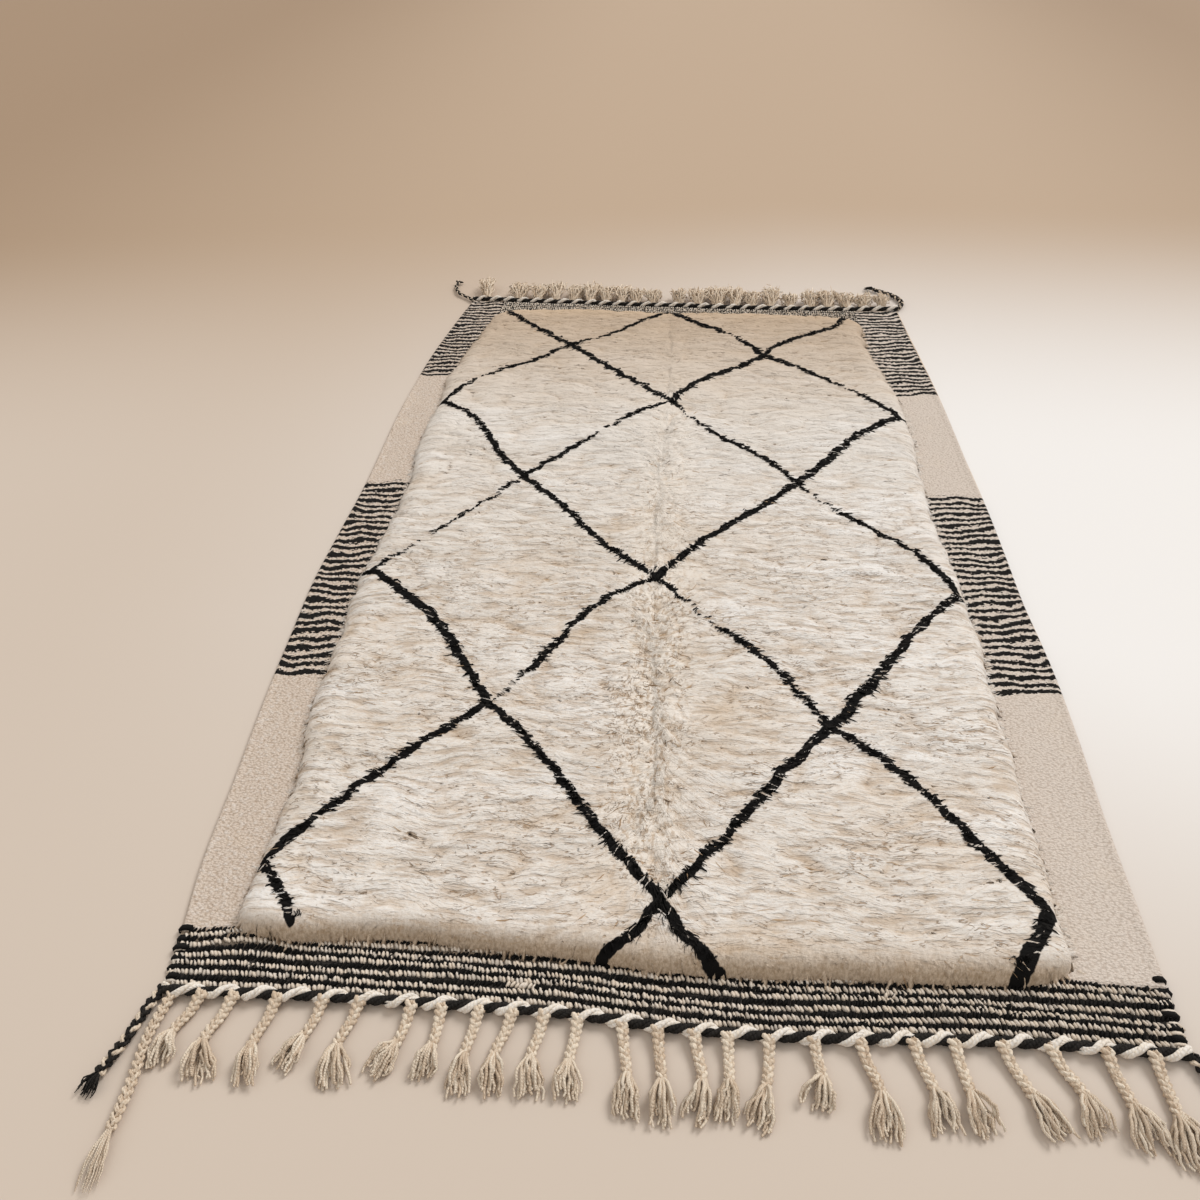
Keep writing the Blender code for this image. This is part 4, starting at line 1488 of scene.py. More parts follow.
def ground_object(material):
    """The woven ground as one closed thin sheet, from selvedge to selvedge and end to end."""
    u, v = np.linspace(0, 1, 25)[None, :], np.linspace(0, 1, 61)[:, None]
    x, y = fill_plan(u, v, "selvedge", "woven", GROUND_START, GROUND_LENGTH, 0.002)
    bm = bmesh.new()
    layers = []
    for z in GROUND_SHEET:
        grid = np.stack([x, y, np.full_like(x, z)], axis=-1)
        layers.append([[bm.verts.new(point) for point in row] for row in grid.tolist()])
    upper, lower = layers
    rows, columns = x.shape
    for j in range(rows - 1):
        for i in range(columns - 1):
            corners = ((j, i), (j, i + 1), (j + 1, i + 1), (j + 1, i))
            bm.faces.new([upper[b][a] for b, a in corners])
            bm.faces.new([lower[b][a] for b, a in corners[:1] + corners[:0:-1]])
    rim = [(0, i) for i in range(columns)] + [(j, columns - 1) for j in range(1, rows)]
    rim += [(rows - 1, i) for i in range(columns - 2, -1, -1)]
    rim += [(j, 0) for j in range(rows - 2, 0, -1)]
    for (j, i), (b, a) in zip(rim, rim[1:] + rim[:1]):
        bm.faces.new((lower[j][i], lower[b][a], upper[b][a], upper[j][i]))
    bmesh.ops.recalc_face_normals(bm, faces=bm.faces)
    mesh = bpy.data.meshes.new("ground_weave")
    bm.to_mesh(mesh)
    bm.free()
    mesh.materials.append(material)
    return link("ground_weave", mesh)


def fill_plan(u, v, side, end, start, length, inset=0.0):
    """X and Y of a grid that fills the rug's plan from side to side (u) and end to end (v)."""
    y = np.broadcast_to(start + length * v, np.broadcast(u, v).shape).copy()
    x = y
    for _ in range(5):
        left = SIDES["left_" + side](y) + inset
        right = SIDES["right_" + side](y) - inset
        x = left + (right - left) * u
        near = ENDS["near_" + end](x) + inset
        far = ENDS["far_" + end](x) - inset
        y = near + (far - near) * v
    return x, y


def rimmed(span, count):
    """Shares of a span from 0 to 1, close together at both ends."""
    middle = np.linspace(0.020, span - 0.020, count)
    return np.concatenate([BED_RIM / span, middle / span, 1 - BED_RIM[::-1] / span])


def lattice_ink(x, y, paths):
    """1 on the lattice's black lines and 0 away from them."""
    ink = np.zeros_like(x)
    for points, weights in paths:
        for (px, py, _), weight in zip(points, weights):
            near = (np.abs(x - px) < 0.02) & (np.abs(y - py) < 0.02)
            far = np.hypot(x[near] - px, y[near] - py) / (LINE_REACH * weight)
            strength = min(1.0, max(0.0, weight * 2 - 0.6))
            ink[near] = np.maximum(ink[near], np.clip(2.2 - far * 1.2, 0, 1) * strength)
    return ink


def bed_objects(material, paths):
    """The matted wool, high over the field and down to the weave round its foot, in two halves."""
    u, v = np.meshgrid(rimmed(FIELD_WIDTH, 276), rimmed(FIELD_LENGTH, 505))
    x, y = fill_plan(u, v, "foot", "foot", FIELD_START, FIELD_LENGTH)
    relief = matting(x, y)
    height = bed_height(x, y, (relief - 0.6) * scene_settings("rug_pile").ridge)
    # The foot bulges outwards here and there.
    side_wall, end_wall = foot_walls(x, y)
    bulge = 0.5 + 0.5 * lumps(x / 0.027, y / 0.2, 12)
    foot_y = y + np.where(y < 0, -0.0030 * bulge, 0.0120 + 0.0100 * bulge) * end_wall
    bulge = 0.5 + 0.5 * lumps(x / 0.2, y / 0.036, 13)
    foot_x = x + np.where(x < 0, -0.0110, 0.0110) * bulge * side_wall
    points = np.stack([foot_x, foot_y, height], axis=-1)
    across, along, edge, ruffle = wool_lay(x, y)
    comb = np.stack(comb_ways(x, y), axis=-1)
    values = {
        "lay": np.stack([across, along, np.zeros_like(x)], axis=-1), "ruffle": ruffle,
        "edge": edge, "relief": relief, "wall": end_wall, "ink": lattice_ink(x, y, paths),
    }
    half = len(x) // 2
    halves = []
    for name, rows in (("pile_near", slice(0, half + 1)), ("pile_far", slice(half, None))):
        kept = [(key, value[rows]) for key, value in values.items()]
        halves.append(grid_object(name, points[rows], material, kept, [("Comb", comb[rows])]))
    return halves


def foot_path(side):
    """The pile's foot at one long edge, with the outside on the right of the way."""
    y = np.linspace(-0.925, 0.835, 160)
    x = SIDES[side + "_foot"](y)
    points = np.stack([x, y, np.zeros_like(x)], axis=-1)
    return points[::-1] if side == "left" else points


def arm_path(start, end, bow, sway, weight, thin):
    """Points along one line of the lattice, on the bed, with the line's weight at each."""
    first, last = np.array(KNOTS[start]), np.array(KNOTS[end])
    span = last - first
    reach = np.hypot(*span)
    t = np.linspace(0, 1, max(4, int(reach / 0.008)))
    side = np.array([-span[1], span[0]]) / reach
    aside = bow * np.sin(np.pi * t) + sway * np.sin(2 * np.pi * t)
    x, y = (first + t[:, None] * span + aside[:, None] * side).T
    x = x + ripple(x, y, ((17.0, 9.0, 0.3, 0.0022), (-9.0, 21.0, 1.3, 0.0016)))
    strength = weight * (1 + ripple(x, y, ((13.0, 11.0, 0.5, 0.14), (-23.0, 19.0, 2.5, 0.12))))
    if thin:
        strength = strength * (1 - 0.75 * np.exp(-(((t - thin) / THIN_REACH) ** 2)))
    return np.stack([x, y, bed_height(x, y)], axis=-1), strength


def border_object(name, side, stripes, blocks, material):
    """A side border: a ribbed weave that thickens over the cords of its selvedge."""
    left = side == "left"
    y_line = np.linspace(-0.937, 0.99, 560)
    rim = (0, 0.004, 0.012, 0.026, 0.042, 0.062, 0.085, 0.11)
    s, y = np.meshgrid(np.concatenate([rim, np.linspace(0.14, 1, 26)]), y_line)
    sign = 1.0 if left else -1.0
    outer = SIDES[side + "_selvedge"](y) + sign * 0.0008
    inner = SIDES[side + "_foot"](y) + sign * 0.010
    x = outer + (inner - outer) * s
    lowest = ENDS["near_woven"](x) + 0.0655 * fanned(x)
    highest = ENDS["far_woven"](x) - 0.002
    y = lowest + (highest - lowest) * (y - y_line[0]) / (y_line[-1] - y_line[0])
    # Stripes dip and rise across the border, more at its outer edge.
    count = np.interp(y, *zip(*stripes)) + ripple(x, y, STRIPE_WAVES) * (1.15 - 0.7 * s)
    count = count + (0.35 if left else -0.25) * (1 - s)
    striped = sum(((count > low) & (count < high)).astype(float) for low, high in blocks)
    ridge = 0.0006 * np.cos(2 * np.pi * (count - 0.3)) * striped
    grain = 0.00035 * ripple(x, y, ((70.0, 95.0, 0.0, 1.0), (-85.0, 120.0, 1.0, 1.0)))
    from_rim = np.abs(x - outer)
    cords = (SELVEDGE - GROUND - 0.0008) * np.exp(-(((from_rim - 0.005) / 0.006) ** 2))
    round_rim = np.sqrt(1 - (1 - np.clip(from_rim / 0.0045, 0, 1)) ** 2)
    height = 0.0012 + (GROUND - 0.0006 + ridge + grain + cords) * round_rim
    for edge in (height[:, -1], height[0], height[-1]):
        edge[:] = 0.002
    points = np.stack([x, y, height], axis=-1)
    if not left:
        points, count, s, x, y = (part[:, ::-1] for part in (points, count, s, x, y))
    bold = (0.52 if left else 0.47) + 0.14 * (1 - s)
    bold = bold + 0.05 * ripple(x, y, ((9.0, 7.0, 0.0, 1.0),))
    weave = np.stack([x / WARP_PITCH, count], axis=-1)
    values = (("bold", bold), ("relief", np.full_like(bold, 1.0)))
    return grid_object(name, points, material, values, (("Weave", weave),))


def end_span(woven_edge):
    """The X at which a woven end starts and stops."""
    left, right = -0.5, 0.5
    for _ in range(4):
        left = float(SIDES["left_selvedge"](woven_edge(left)))
        right = float(SIDES["right_selvedge"](woven_edge(right)))
    return left, right


def fanned(x):
    """How much wider apart the near border's rows lie where they fan out by its left corner."""
    place, reach, share = NEAR_FAN
    return 1 + share * np.exp(-(((x - place) / reach) ** 2))


def border_rows(edge, inward, rows, pitch, span, breaks, black_rows):
    """The stitched rows of an end border, as black paths and ivory paths."""
    paths = {True: [], False: []}
    for row in range(rows):
        way = 2.0 if row % 2 else 0.0
        start, stop = span
        stops = [start + 0.003 * (row % 2)]
        dark = [row in black_rows]
        for broken, low, high in breaks:
            if broken == row:
                stops += [low, high]
                dark += [False, True]
        stops.append(stop)
        for a, b, black in zip(stops, stops[1:], dark):
            x = np.linspace(a, b, max(3, int((b - a) / 0.012)))
            drift = 0.0017 * ripple(x, 0 * x + row * 0.05, ROW_WAVES) * min(1.0, row / 3)
            spread = fanned(x) if inward > 0 else 1.0
            y = edge(x) + inward * (ROW_START + pitch * row * spread + drift)
            points = np.stack([x, y, np.full_like(x, 0.0048)], axis=-1)
            paths[black].append((points, way))
    return paths[True], paths[False]


def stitch_shapes():
    """A short slanting stitch, one long, one wide and one high."""
    collection = shape_collection("stitch shapes")
    rings = []
    for along, size in ((-0.26, 0.92), (0.26, 0.92)):
        w = 0.5 * size
        rings.append([(along, -w, 0.0), (along, 0.0, size), (along, w, 0.0), (along, 0.0, -0.3)])
    # Shade numbers for painted shade: lower on a stitch's sides and underside.
    shades = [[0.35, 1.0, 0.35, 0.0]] * 2
    ringed_shape("stitch", rings, ((-0.55, 0.0, 0.1), (0.55, 0.0, 0.1)), shades, collection)
    return collection


def wrap_shapes():
    """A turn of yarn over a selvedge: seen from the end, an arch from the weave to the floor."""
    collection = shape_collection("wrap shapes")
    centre = np.array((-0.0015, 0.0015))
    arch = (
        # outwards, up
        (-0.0105, 0.0052),
        (-0.0045, 0.0076),
        (0.0018, 0.0073),
        (0.0050, 0.0044),
        (0.0044, 0.0016),
    )
    rings = []
    for out, high in arch:
        away = np.array((out, high)) - centre
        away = away / np.hypot(*away) * 0.0017
        inner, outer = ((np.array((out, high)) + way * away).tolist() for way in (-1, 1))
        rings.append([(-0.5, out, high), (0.0, *outer), (0.5, out, high), (0.0, *inner)])
    # Shade numbers for painted shade: lower on a wrap's sides and underside.
    shades = [[0.4, 1.0, 0.4, 0.0]] * len(rings)
    ringed_shape("wrap", rings, (None, None), shades, collection)
    return collection


def selvedge_path(side, row):
    """A selvedge beside the near border, from one of its rows on, its outside on the way's left."""
    left = side == "left"
    corner = end_span(ENDS["near_woven"])[0 if left else 1]
    edge = float(ENDS["near_woven"](corner))
    first = edge + ROW_START + scene_settings("rug_weave").row_pitch * row
    y = np.linspace(first, -0.930, 12)
    x = SIDES[side + "_selvedge"](y) + (0.0045 if left else -0.0045)
    points = np.stack([x, y, np.zeros_like(x)], axis=-1)
    return points if left else points[::-1]


def cord_path(woven_edge, outward):
    """The centreline of a twined end cord."""
    start, stop = end_span(woven_edge)
    x = np.linspace(start, stop, 160)
    y = woven_edge(x) + outward * (GAP + CORD_WIDTH / 2)
    return np.stack([x, y, np.full_like(x, FLOOR_GAP + CORD_HEIGHT / 2)], axis=-1)


def rounded(points, count):
    """More points on a smooth way through a few."""
    points = np.array(points)
    steps = np.hypot(*np.diff(points[:, :2], axis=0).T)
    place = np.concatenate([[0], np.cumsum(steps)])
    fine = np.linspace(0, place[-1], count)
    return np.stack([smooth(place, line)(fine) for line in points.T], axis=-1)


def near_paths():
    """The way of each near plait, and of the tassel that it opens into."""
    plaits, tassels = [], []
    radii = np.interp(np.arange(24), (0, 3, 9), (1.25, 1.15, 1.0))
    for root, plait_lean, tassel_lean, reach, half_width in NEAR_FINGERS:
        edge = float(ENDS["near_woven"](root))
        root_y = edge - GAP - CORD_WIDTH - GAP - BAR_DEPTH
        end = (root + plait_lean + 0.1 * tassel_lean, root_y - 0.54 * reach)
        way = (
            (root - 0.10 * plait_lean, root_y + 0.0095, 0.0108),
            (root + 0.05 * plait_lean, root_y + 0.003, 0.0092),
            (root + 0.30 * plait_lean, root_y - 0.16 * reach, 0.0058),
            (root + 0.75 * plait_lean, root_y - 0.36 * reach, 0.0054),
            (*end, 0.0054),
        )
        plaits.append((rounded(way, 24), radii))
        way = (
            (end[0] - 0.05 * plait_lean, end[1] + 0.004, 0.0056),
            (root + plait_lean + 0.5 * tassel_lean, root_y - 0.76 * reach, 0.0050),
            (root + plait_lean + tassel_lean, root_y - 1.02 * reach, 0.0026),
        )
        tassels.append((rounded(way, 8), half_width / 0.012))
    return plaits, tassels


def far_paths():
    """The way of each far tuft."""
    ways = []
    for root, lean, reach, half_width in FAR_FINGERS:
        root_y = float(ENDS["far_woven"](root)) + GAP + CORD_WIDTH
        way = (
            (root, root_y - 0.004, 0.0065),
            (root + lean * 0.5, root_y + 0.40 * reach, 0.0150),
            (root + lean, root_y + 0.98 * reach, 0.0150),
        )
        ways.append((rounded(way, 8), half_width / 0.018))
    return ways


def open_end(way, reach):
    """The way of a tail's loose strands, on from its plait and down to the floor."""
    x, y, _ = way[-1]
    ahead = way[-1] - way[-4]
    ahead = ahead / np.hypot(ahead[0], ahead[1])
    middle = (x + ahead[0] * reach * 0.5, y + ahead[1] * reach * 0.5, 0.0055)
    tip = (x + ahead[0] * reach, y + ahead[1] * reach, 0.0030)
    return rounded([(x, y, 0.0062), middle, tip], 8)


class PileSettings(bpy.types.PropertyGroup):
    """Sizes of the wool pile."""

    lock_spacing: bpy.props.FloatProperty(
        name="Lock Spacing", description="Distance between the roots of the locks",
        default=0.0104, unit="LENGTH",
    )
    lock_length: bpy.props.FloatProperty(
        name="Lock Length", description="Mean length of a lock of wool", default=0.028,
        unit="LENGTH",
    )
    lock_width: bpy.props.FloatProperty(
        name="Lock Width", description="Mean width of a lock of wool", default=0.0066, unit="LENGTH"
    )
    lock_height: bpy.props.FloatProperty(
        name="Lock Height", description="Mean height of a lock over the matted wool",
        default=0.0008, unit="LENGTH",
    )
    wave: bpy.props.FloatProperty(
        name="Wave", description="How far the locks wave to and fro", default=0.0085, unit="LENGTH"
    )
    ridge: bpy.props.FloatProperty(
        name="Ridge", description="Height of the ridges in the matted wool", default=0.0085,
        unit="LENGTH",
    )
    edge_rounding: bpy.props.FloatProperty(
        name="Edge Rounding", description="Width of the rounding round the pile", default=0.024,
        unit="LENGTH",
    )
    parting_depth: bpy.props.FloatProperty(
        name="Parting Depth", description="Depth of the parting down the middle",
        default=0.0012, unit="LENGTH",
    )
    line_half_width: bpy.props.FloatProperty(
        name="Line Half Width", description="Half the width of a black line", default=0.0047,
        unit="LENGTH",
    )
    line_spacing: bpy.props.FloatProperty(
        name="Line Spacing", description="Distance from lock to lock along a black line",
        default=0.0013, unit="LENGTH",
    )


class WeaveSettings(bpy.types.PropertyGroup):
    """Sizes of the flat-woven borders."""

    stitch_pitch: bpy.props.FloatProperty(
        name="Stitch Pitch", description="Distance from stitch to stitch", default=0.0049,
        unit="LENGTH",
    )
    row_pitch: bpy.props.FloatProperty(
        name="Row Pitch", description="Distance from row to row", default=0.0058, unit="LENGTH"
    )
    far_pitch: bpy.props.FloatProperty(
        name="Far Pitch", description="Distance from row to row in the far border",
        default=0.0046, unit="LENGTH",
    )
    wrap_pitch: bpy.props.FloatProperty(
        name="Wrap Pitch", description="Distance from turn to turn at a border's end",
        default=0.0058, unit="LENGTH",
    )


class FringeSettings(bpy.types.PropertyGroup):
    """Sizes of the cords, plaits and tassels."""

    plait_turn: bpy.props.FloatProperty(
        name="Plait Turn", description="Length of one turn of a plait", default=0.021, unit="LENGTH"
    )
    yarn_radius: bpy.props.FloatProperty(
        name="Yarn Radius", description="Radius of a plait's yarn", default=0.0023, unit="LENGTH"
    )
    tassel_strands: bpy.props.IntProperty(
        name="Tassel Strands", description="Loose strands in each near tassel", default=24,
        min=3, max=40,
    )
    tuft_strands: bpy.props.IntProperty(
        name="Tuft Strands", description="Loose strands in each far tuft", default=60, min=3,
        max=120,
    )


class WoolColours(bpy.types.PropertyGroup):
    """Colours of the wool."""

    ivory: bpy.props.FloatVectorProperty(
        name="Ivory", description="Crowns of the pile", default=(0.785, 0.742, 0.695),
        subtype="COLOR", min=0, max=1,
    )
    warm: bpy.props.FloatVectorProperty(
        name="Warm", description="Curly wool along the parting", default=(0.86, 0.785, 0.70),
        subtype="COLOR", min=0, max=1,
    )
    # Painted shade at the foot of the pile's walls.
    foot: bpy.props.FloatVectorProperty(
        name="Foot", description="Foot of the pile", default=(0.38, 0.275, 0.18),
        subtype="COLOR", min=0, max=1,
    )
    pale: bpy.props.FloatVectorProperty(
        name="Pale", description="Bleached patches", default=(0.87, 0.845, 0.82),
        subtype="COLOR", min=0, max=1,
    )
    tan: bpy.props.FloatVectorProperty(
        name="Tan", description="Slow tan patches", default=(0.72, 0.58, 0.44), subtype="COLOR",
        min=0, max=1,
    )
    # Painted shade in the creases between the locks.
    crease_shade: bpy.props.FloatVectorProperty(
        name="Crease", description="Creases between the locks", default=(0.60, 0.44, 0.29),
        subtype="COLOR", min=0, max=1,
    )
    # Painted shade in the long creases between the clumps.
    gap: bpy.props.FloatVectorProperty(
        name="Gap", description="Long creases between the clumps", default=(0.50, 0.375, 0.265),
        subtype="COLOR", min=0, max=1,
    )
    # Painted shade in the deep splits and thin creases of the pile.
    crack_shade: bpy.props.FloatVectorProperty(
        name="Crack", description="Deep splits in the pile", default=(0.40, 0.25, 0.135),
        subtype="COLOR", min=0, max=1,
    )
    # Painted shade in the hollows of the flat weave.
    weave_hollow_shade: bpy.props.FloatVectorProperty(
        name="Weave Crease", description="Hollows of the flat weave",
        default=(0.41, 0.305, 0.225), subtype="COLOR", min=0, max=1,
    )
    weave: bpy.props.FloatVectorProperty(
        name="Weave", description="Plain flat weave", default=(0.70, 0.60, 0.515),
        subtype="COLOR", min=0, max=1,
    )
    black: bpy.props.FloatVectorProperty(
        name="Black", description="Black wool", default=(0.0065, 0.006, 0.0058),
        subtype="COLOR", min=0, max=1,
    )
    # Worn black wool, also used for a painted highlight on the black locks' crowns and for painted
    # shade under the pile's near foot.
    charcoal: bpy.props.FloatVectorProperty(
        name="Charcoal", description="Worn black wool", default=(0.034, 0.030, 0.027),
        subtype="COLOR", min=0, max=1,
    )
    yarn: bpy.props.FloatVectorProperty(
        name="Yarn", description="Cream yarn of the near fringe", default=(0.81, 0.71, 0.585),
        subtype="COLOR", min=0, max=1,
    )
    stitch: bpy.props.FloatVectorProperty(
        name="Stitch", description="Ivory yarn of the stitched rows",
        default=(0.82, 0.71, 0.59), subtype="COLOR", min=0, max=1,
    )
    yarn_worn: bpy.props.FloatVectorProperty(
        name="Worn Yarn", description="Worn cream yarn", default=(0.58, 0.45, 0.33),
        subtype="COLOR", min=0, max=1,
    )
    tuft: bpy.props.FloatVectorProperty(
        name="Tuft", description="Beige yarn of the far fringe", default=(0.96, 0.83, 0.68),
        subtype="COLOR", min=0, max=1,
    )
    tuft_worn: bpy.props.FloatVectorProperty(
        name="Worn Tuft", description="Darker yarn of the far fringe",
        default=(0.80, 0.64, 0.48), subtype="COLOR", min=0, max=1,
    )


class StageSettings(bpy.types.PropertyGroup):
    """Floor, light and camera."""

    floor: bpy.props.FloatVectorProperty(
        name="Floor", description="Pale floor", default=(0.62, 0.53, 0.45), subtype="COLOR",
        min=0, max=1,
    )
    # A painted pool of light on the floor at the right.
    painted_light_floor: bpy.props.FloatVectorProperty(
        name="Bright Floor", description="Floor at the right", default=(0.855, 0.84, 0.83),
        subtype="COLOR", min=0, max=1,
    )
    far_floor: bpy.props.FloatVectorProperty(
        name="Far Floor", description="Floor far behind the rug", default=(0.515, 0.39, 0.283),
        subtype="COLOR", min=0, max=1,
    )
    dim_floor: bpy.props.FloatVectorProperty(
        name="Dim Floor", description="Floor far off at the left",
        default=(0.375, 0.265, 0.178), subtype="COLOR", min=0, max=1,
    )
    key_power: bpy.props.FloatProperty(
        name="Key Power", description="Strength of the broad sunlight", default=1.85
    )
    sky: bpy.props.FloatProperty(
        name="Sky", description="Strength of the light from all round", default=0.60
    )
    lens: bpy.props.FloatProperty(
        name="Lens", description="Focal length in millimetres", default=30.2
    )


SETTINGS = {
    "rug_pile": PileSettings,
    "rug_weave": WeaveSettings,
    "rug_fringe": FringeSettings,
    "rug_colours": WoolColours,
    "rug_stage": StageSettings,
}


def floor_material(settings):
    """The pale floor, with a painted pool of light to the right, and darker to either side far
    behind the rug.
    """

    def paint(graph):
        x, y, _ = graph.parts(graph.place())
        # A painted pool of light to the right.
        bright = graph.rise(x, -1.1, 0.7) * graph.rise(y, -1.3, -0.35)
        dim = graph.maths("MAXIMUM", graph.fall(x, -3.0, -0.2), graph.rise(x, 0.8, 2.6) * 0.85)
        far = graph.rise(y + abs(x - 0.3) * 0.12, 0.22, 1.90)
        far, bright, dim = (part * part * (3.0 - 2.0 * part) for part in (far, bright, dim))
        near = graph.mix(bright, settings.floor, settings.painted_light_floor)
        beyond = graph.mix(dim, settings.far_floor, settings.dim_floor)
        return graph.mix(far, near, beyond), None

    return surface("pale_floor", 0.8, 0.2, paint)


def set_camera(lens):
    """The camera, over the near end, tilted by a roll about its own axis."""
    level = math.cos(CAMERA_PITCH)
    ahead = Vector(
        (math.sin(CAMERA_YAW) * level, math.cos(CAMERA_YAW) * level, -math.sin(CAMERA_PITCH))
    )
    right = ahead.cross(Vector((0, 0, 1))).normalized()
    up = right.cross(ahead)
    tilted_right = right * math.cos(CAMERA_ROLL) + up * math.sin(CAMERA_ROLL)
    tilted_up = up * math.cos(CAMERA_ROLL) - right * math.sin(CAMERA_ROLL)
    camera = bpy.data.cameras.new("camera")
    camera.lens = lens
    camera.sensor_width = 36.0
    camera.clip_start = 0.02
    holder = link("camera", camera)
    turn = Matrix((tilted_right, tilted_up, -ahead)).transposed().to_4x4()
    holder.matrix_world = Matrix.Translation(CAMERA_PLACE) @ turn
    bpy.context.scene.camera = holder


class RUG_OT_stage(bpy.types.Operator):
    """Set the pale floor, the soft light and the camera"""

    bl_idname = "rug.stage"
    bl_label = "Set Stage"

    def execute(self, context):
        settings = scene_settings("rug_stage")
        scene = context.scene
        scene.view_settings.view_transform = "Standard"
        scene.view_settings.look = "None"
        floor = np.array([[(x, y, -0.0002) for x in (-14.0, 14.0)] for y in (-9.0, 16.0)])
        grid_object("floor", floor, floor_material(settings))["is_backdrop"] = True
        world = bpy.data.worlds.new("soft_light")
        world.use_nodes = True
        background = world.node_tree.nodes["Background"]
        background.inputs["Color"].default_value = (1.0, 0.955, 0.90, 1.0)
        background.inputs["Strength"].default_value = settings.sky
        scene.world = world
        for name, place, share, spread in SUNS:
            sun = bpy.data.lights.new(name, "SUN")
            sun.angle = math.radians(spread)
            sun.energy = settings.key_power * share
            sun.color = (1.0, 0.99, 0.975)
            aim = -Vector(place)
            turn = aim.to_track_quat("-Z", "Y").to_matrix().to_4x4()
            link(name, sun).matrix_world = Matrix.Translation(place) @ turn
        set_camera(settings.lens)
        return {"FINISHED"}


class RUG_OT_pile(bpy.types.Operator):
    """Make the knotted pile: its bed, the ivory locks of wool and the black lozenge lines"""

    bl_idname = "rug.pile"
    bl_label = "Make Pile"

    def execute(self, context):
        pile, colours = scene_settings("rug_pile"), scene_settings("rug_colours")
        paths = [arm_path(*arm) for arm in ARMS]
        near, far = bed_objects(matted_wool(colours), paths)
        lines = curve_object("lattice", paths)
        shapes = lock_shapes()
        ivory = ivory_locks(colours)
        common = {"Shapes": shapes, "Wave": pile.wave}
        values = common | {
            "Far": far, "Lines": lines, "Spacing": pile.lock_spacing,
            "Length": pile.lock_length, "Width": pile.lock_width, "Height": pile.lock_height,
            "Clear Of Lines": pile.line_half_width * 1.1, "Material": ivory,
        }
        tree = pile_tree()
        names = ("pile_left", "pile_middle", "pile_right")
        for name, low, high in zip(names, PILE_SPLITS, PILE_SPLITS[1:]):
            make_wool(name, near, tree, values | {"From X": low, "To X": high})
        values = common | {
            "Near": near, "Far": far, "Spacing": pile.line_spacing,
            "Half Width": pile.line_half_width, "Length": pile.lock_length * 0.58,
            "Width": pile.lock_width * 0.52, "Height": pile.lock_height * 3.2,
            "Material": black_pile(colours),
        }
        make_wool("pile_lines", lines, line_tree(), values)
        tree = skirt_tree()
        for side in ("left", "right"):
            values = common | {
                "Beside": bpy.data.objects[side + "_border"], "Spacing": 0.0018,
                "Length": pile.lock_length * 0.50, "Width": pile.lock_width * 0.75,
                "Height": pile.lock_height * 1.6, "Material": ivory,
            }
            foot = curve_object("foot", [(foot_path(side), 1.0)])
            make_wool(side + "_skirt", foot, tree, values)
            drop(foot)
        for half in (near, far):
            settle(half)
        drop(lines)
        drop_collection(shapes)
        return {"FINISHED"}


class RUG_OT_borders(bpy.types.Operator):
    """Weave the ground, the side borders, the stitched end borders and the wrapped selvedges"""

    bl_idname = "rug.borders"
    bl_label = "Weave Borders"

    def execute(self, context):
        weave, colours = scene_settings("rug_weave"), scene_settings("rug_colours")
        settle(ground_object(ground_wool(colours)), ["rug_body"])
        for side, stripes, blocks in (
            ("left", LEFT_STRIPES, LEFT_BLOCKS),
            ("right", RIGHT_STRIPES, RIGHT_BLOCKS),
        ):
            material = border_wool(side + "_border_wool", colours, blocks)
            border = border_object(side + "_border", side, stripes, blocks, material)
            plan_map(border)
            settle(border)
        black = stitch_wool("black_stitch_wool", colours.black, colours.charcoal)
        ivory = stitch_wool("ivory_stitch_wool", colours.stitch, colours.pale)
        tree = stitch_tree()
        self.stitch_ends(weave, tree, black, ivory)
        self.wrap_selvedges(weave, tree, black, ivory)
        return {"FINISHED"}

    def stitch_ends(self, weave, tree, black, ivory):
        """The stitched rows of both end borders."""
        shapes = stitch_shapes()
        edge, pitch = ENDS["near_woven"], weave.row_pitch
        span = end_span(edge)
        near = border_rows(edge, 1, NEAR_ROWS, pitch, span, NEAR_BREAKS, NEAR_BLACK_ROWS)
        edge, pitch = ENDS["far_woven"], weave.far_pitch
        far = border_rows(edge, -1, FAR_ROWS, pitch, FAR_SPAN, (), FAR_BLACK_ROWS)
        for end, (dark, light), pitch, row in (
            ("near", near, weave.stitch_pitch, weave.row_pitch),
            ("far", far, weave.stitch_pitch * 1.1, weave.far_pitch),
        ):
            for name, paths, material, slot, long, wide, high in (
                (f"{end}_border_black", dark, black, "near_cord", 1.55, 1.00, 0.0026),
                (f"{end}_border_ivory", light, ivory, "rug_body", 1.48, 1.08, 0.0031),
            ):
                values = {
                    "Shapes": shapes, "Pitch": pitch, "Length": row * long,
                    "Width": pitch * wide, "Height": high, "Slant": 1.12, "Jitter": 0.0011,
                    "Material": material,
                }
                make(name, paths, tree, values)
        drop_collection(shapes)

    def wrap_selvedges(self, weave, tree, black, ivory):
        """The turns of yarn over the selvedges beside the near border."""
        shapes = wrap_shapes()
        for side in ("left", "right"):
            for ending, material, slot, row, long, size in (
                ("black", black, "near_cord", 1, 1.45, 1.0),
                ("ivory", ivory, "rug_body", 0, 0.90, 0.88),
            ):
                values = {
                    "Shapes": shapes, "Pitch": weave.wrap_pitch * 2,
                    "Length": weave.wrap_pitch * long, "Width": size, "Height": size,
                    "Slant": 0.0, "Jitter": 0.0002, "Material": material,
                }
                path = [(selvedge_path(side, row), 1.0)]
                make(f"{side}_wraps_{ending}", path, tree, values)
        drop_collection(shapes)


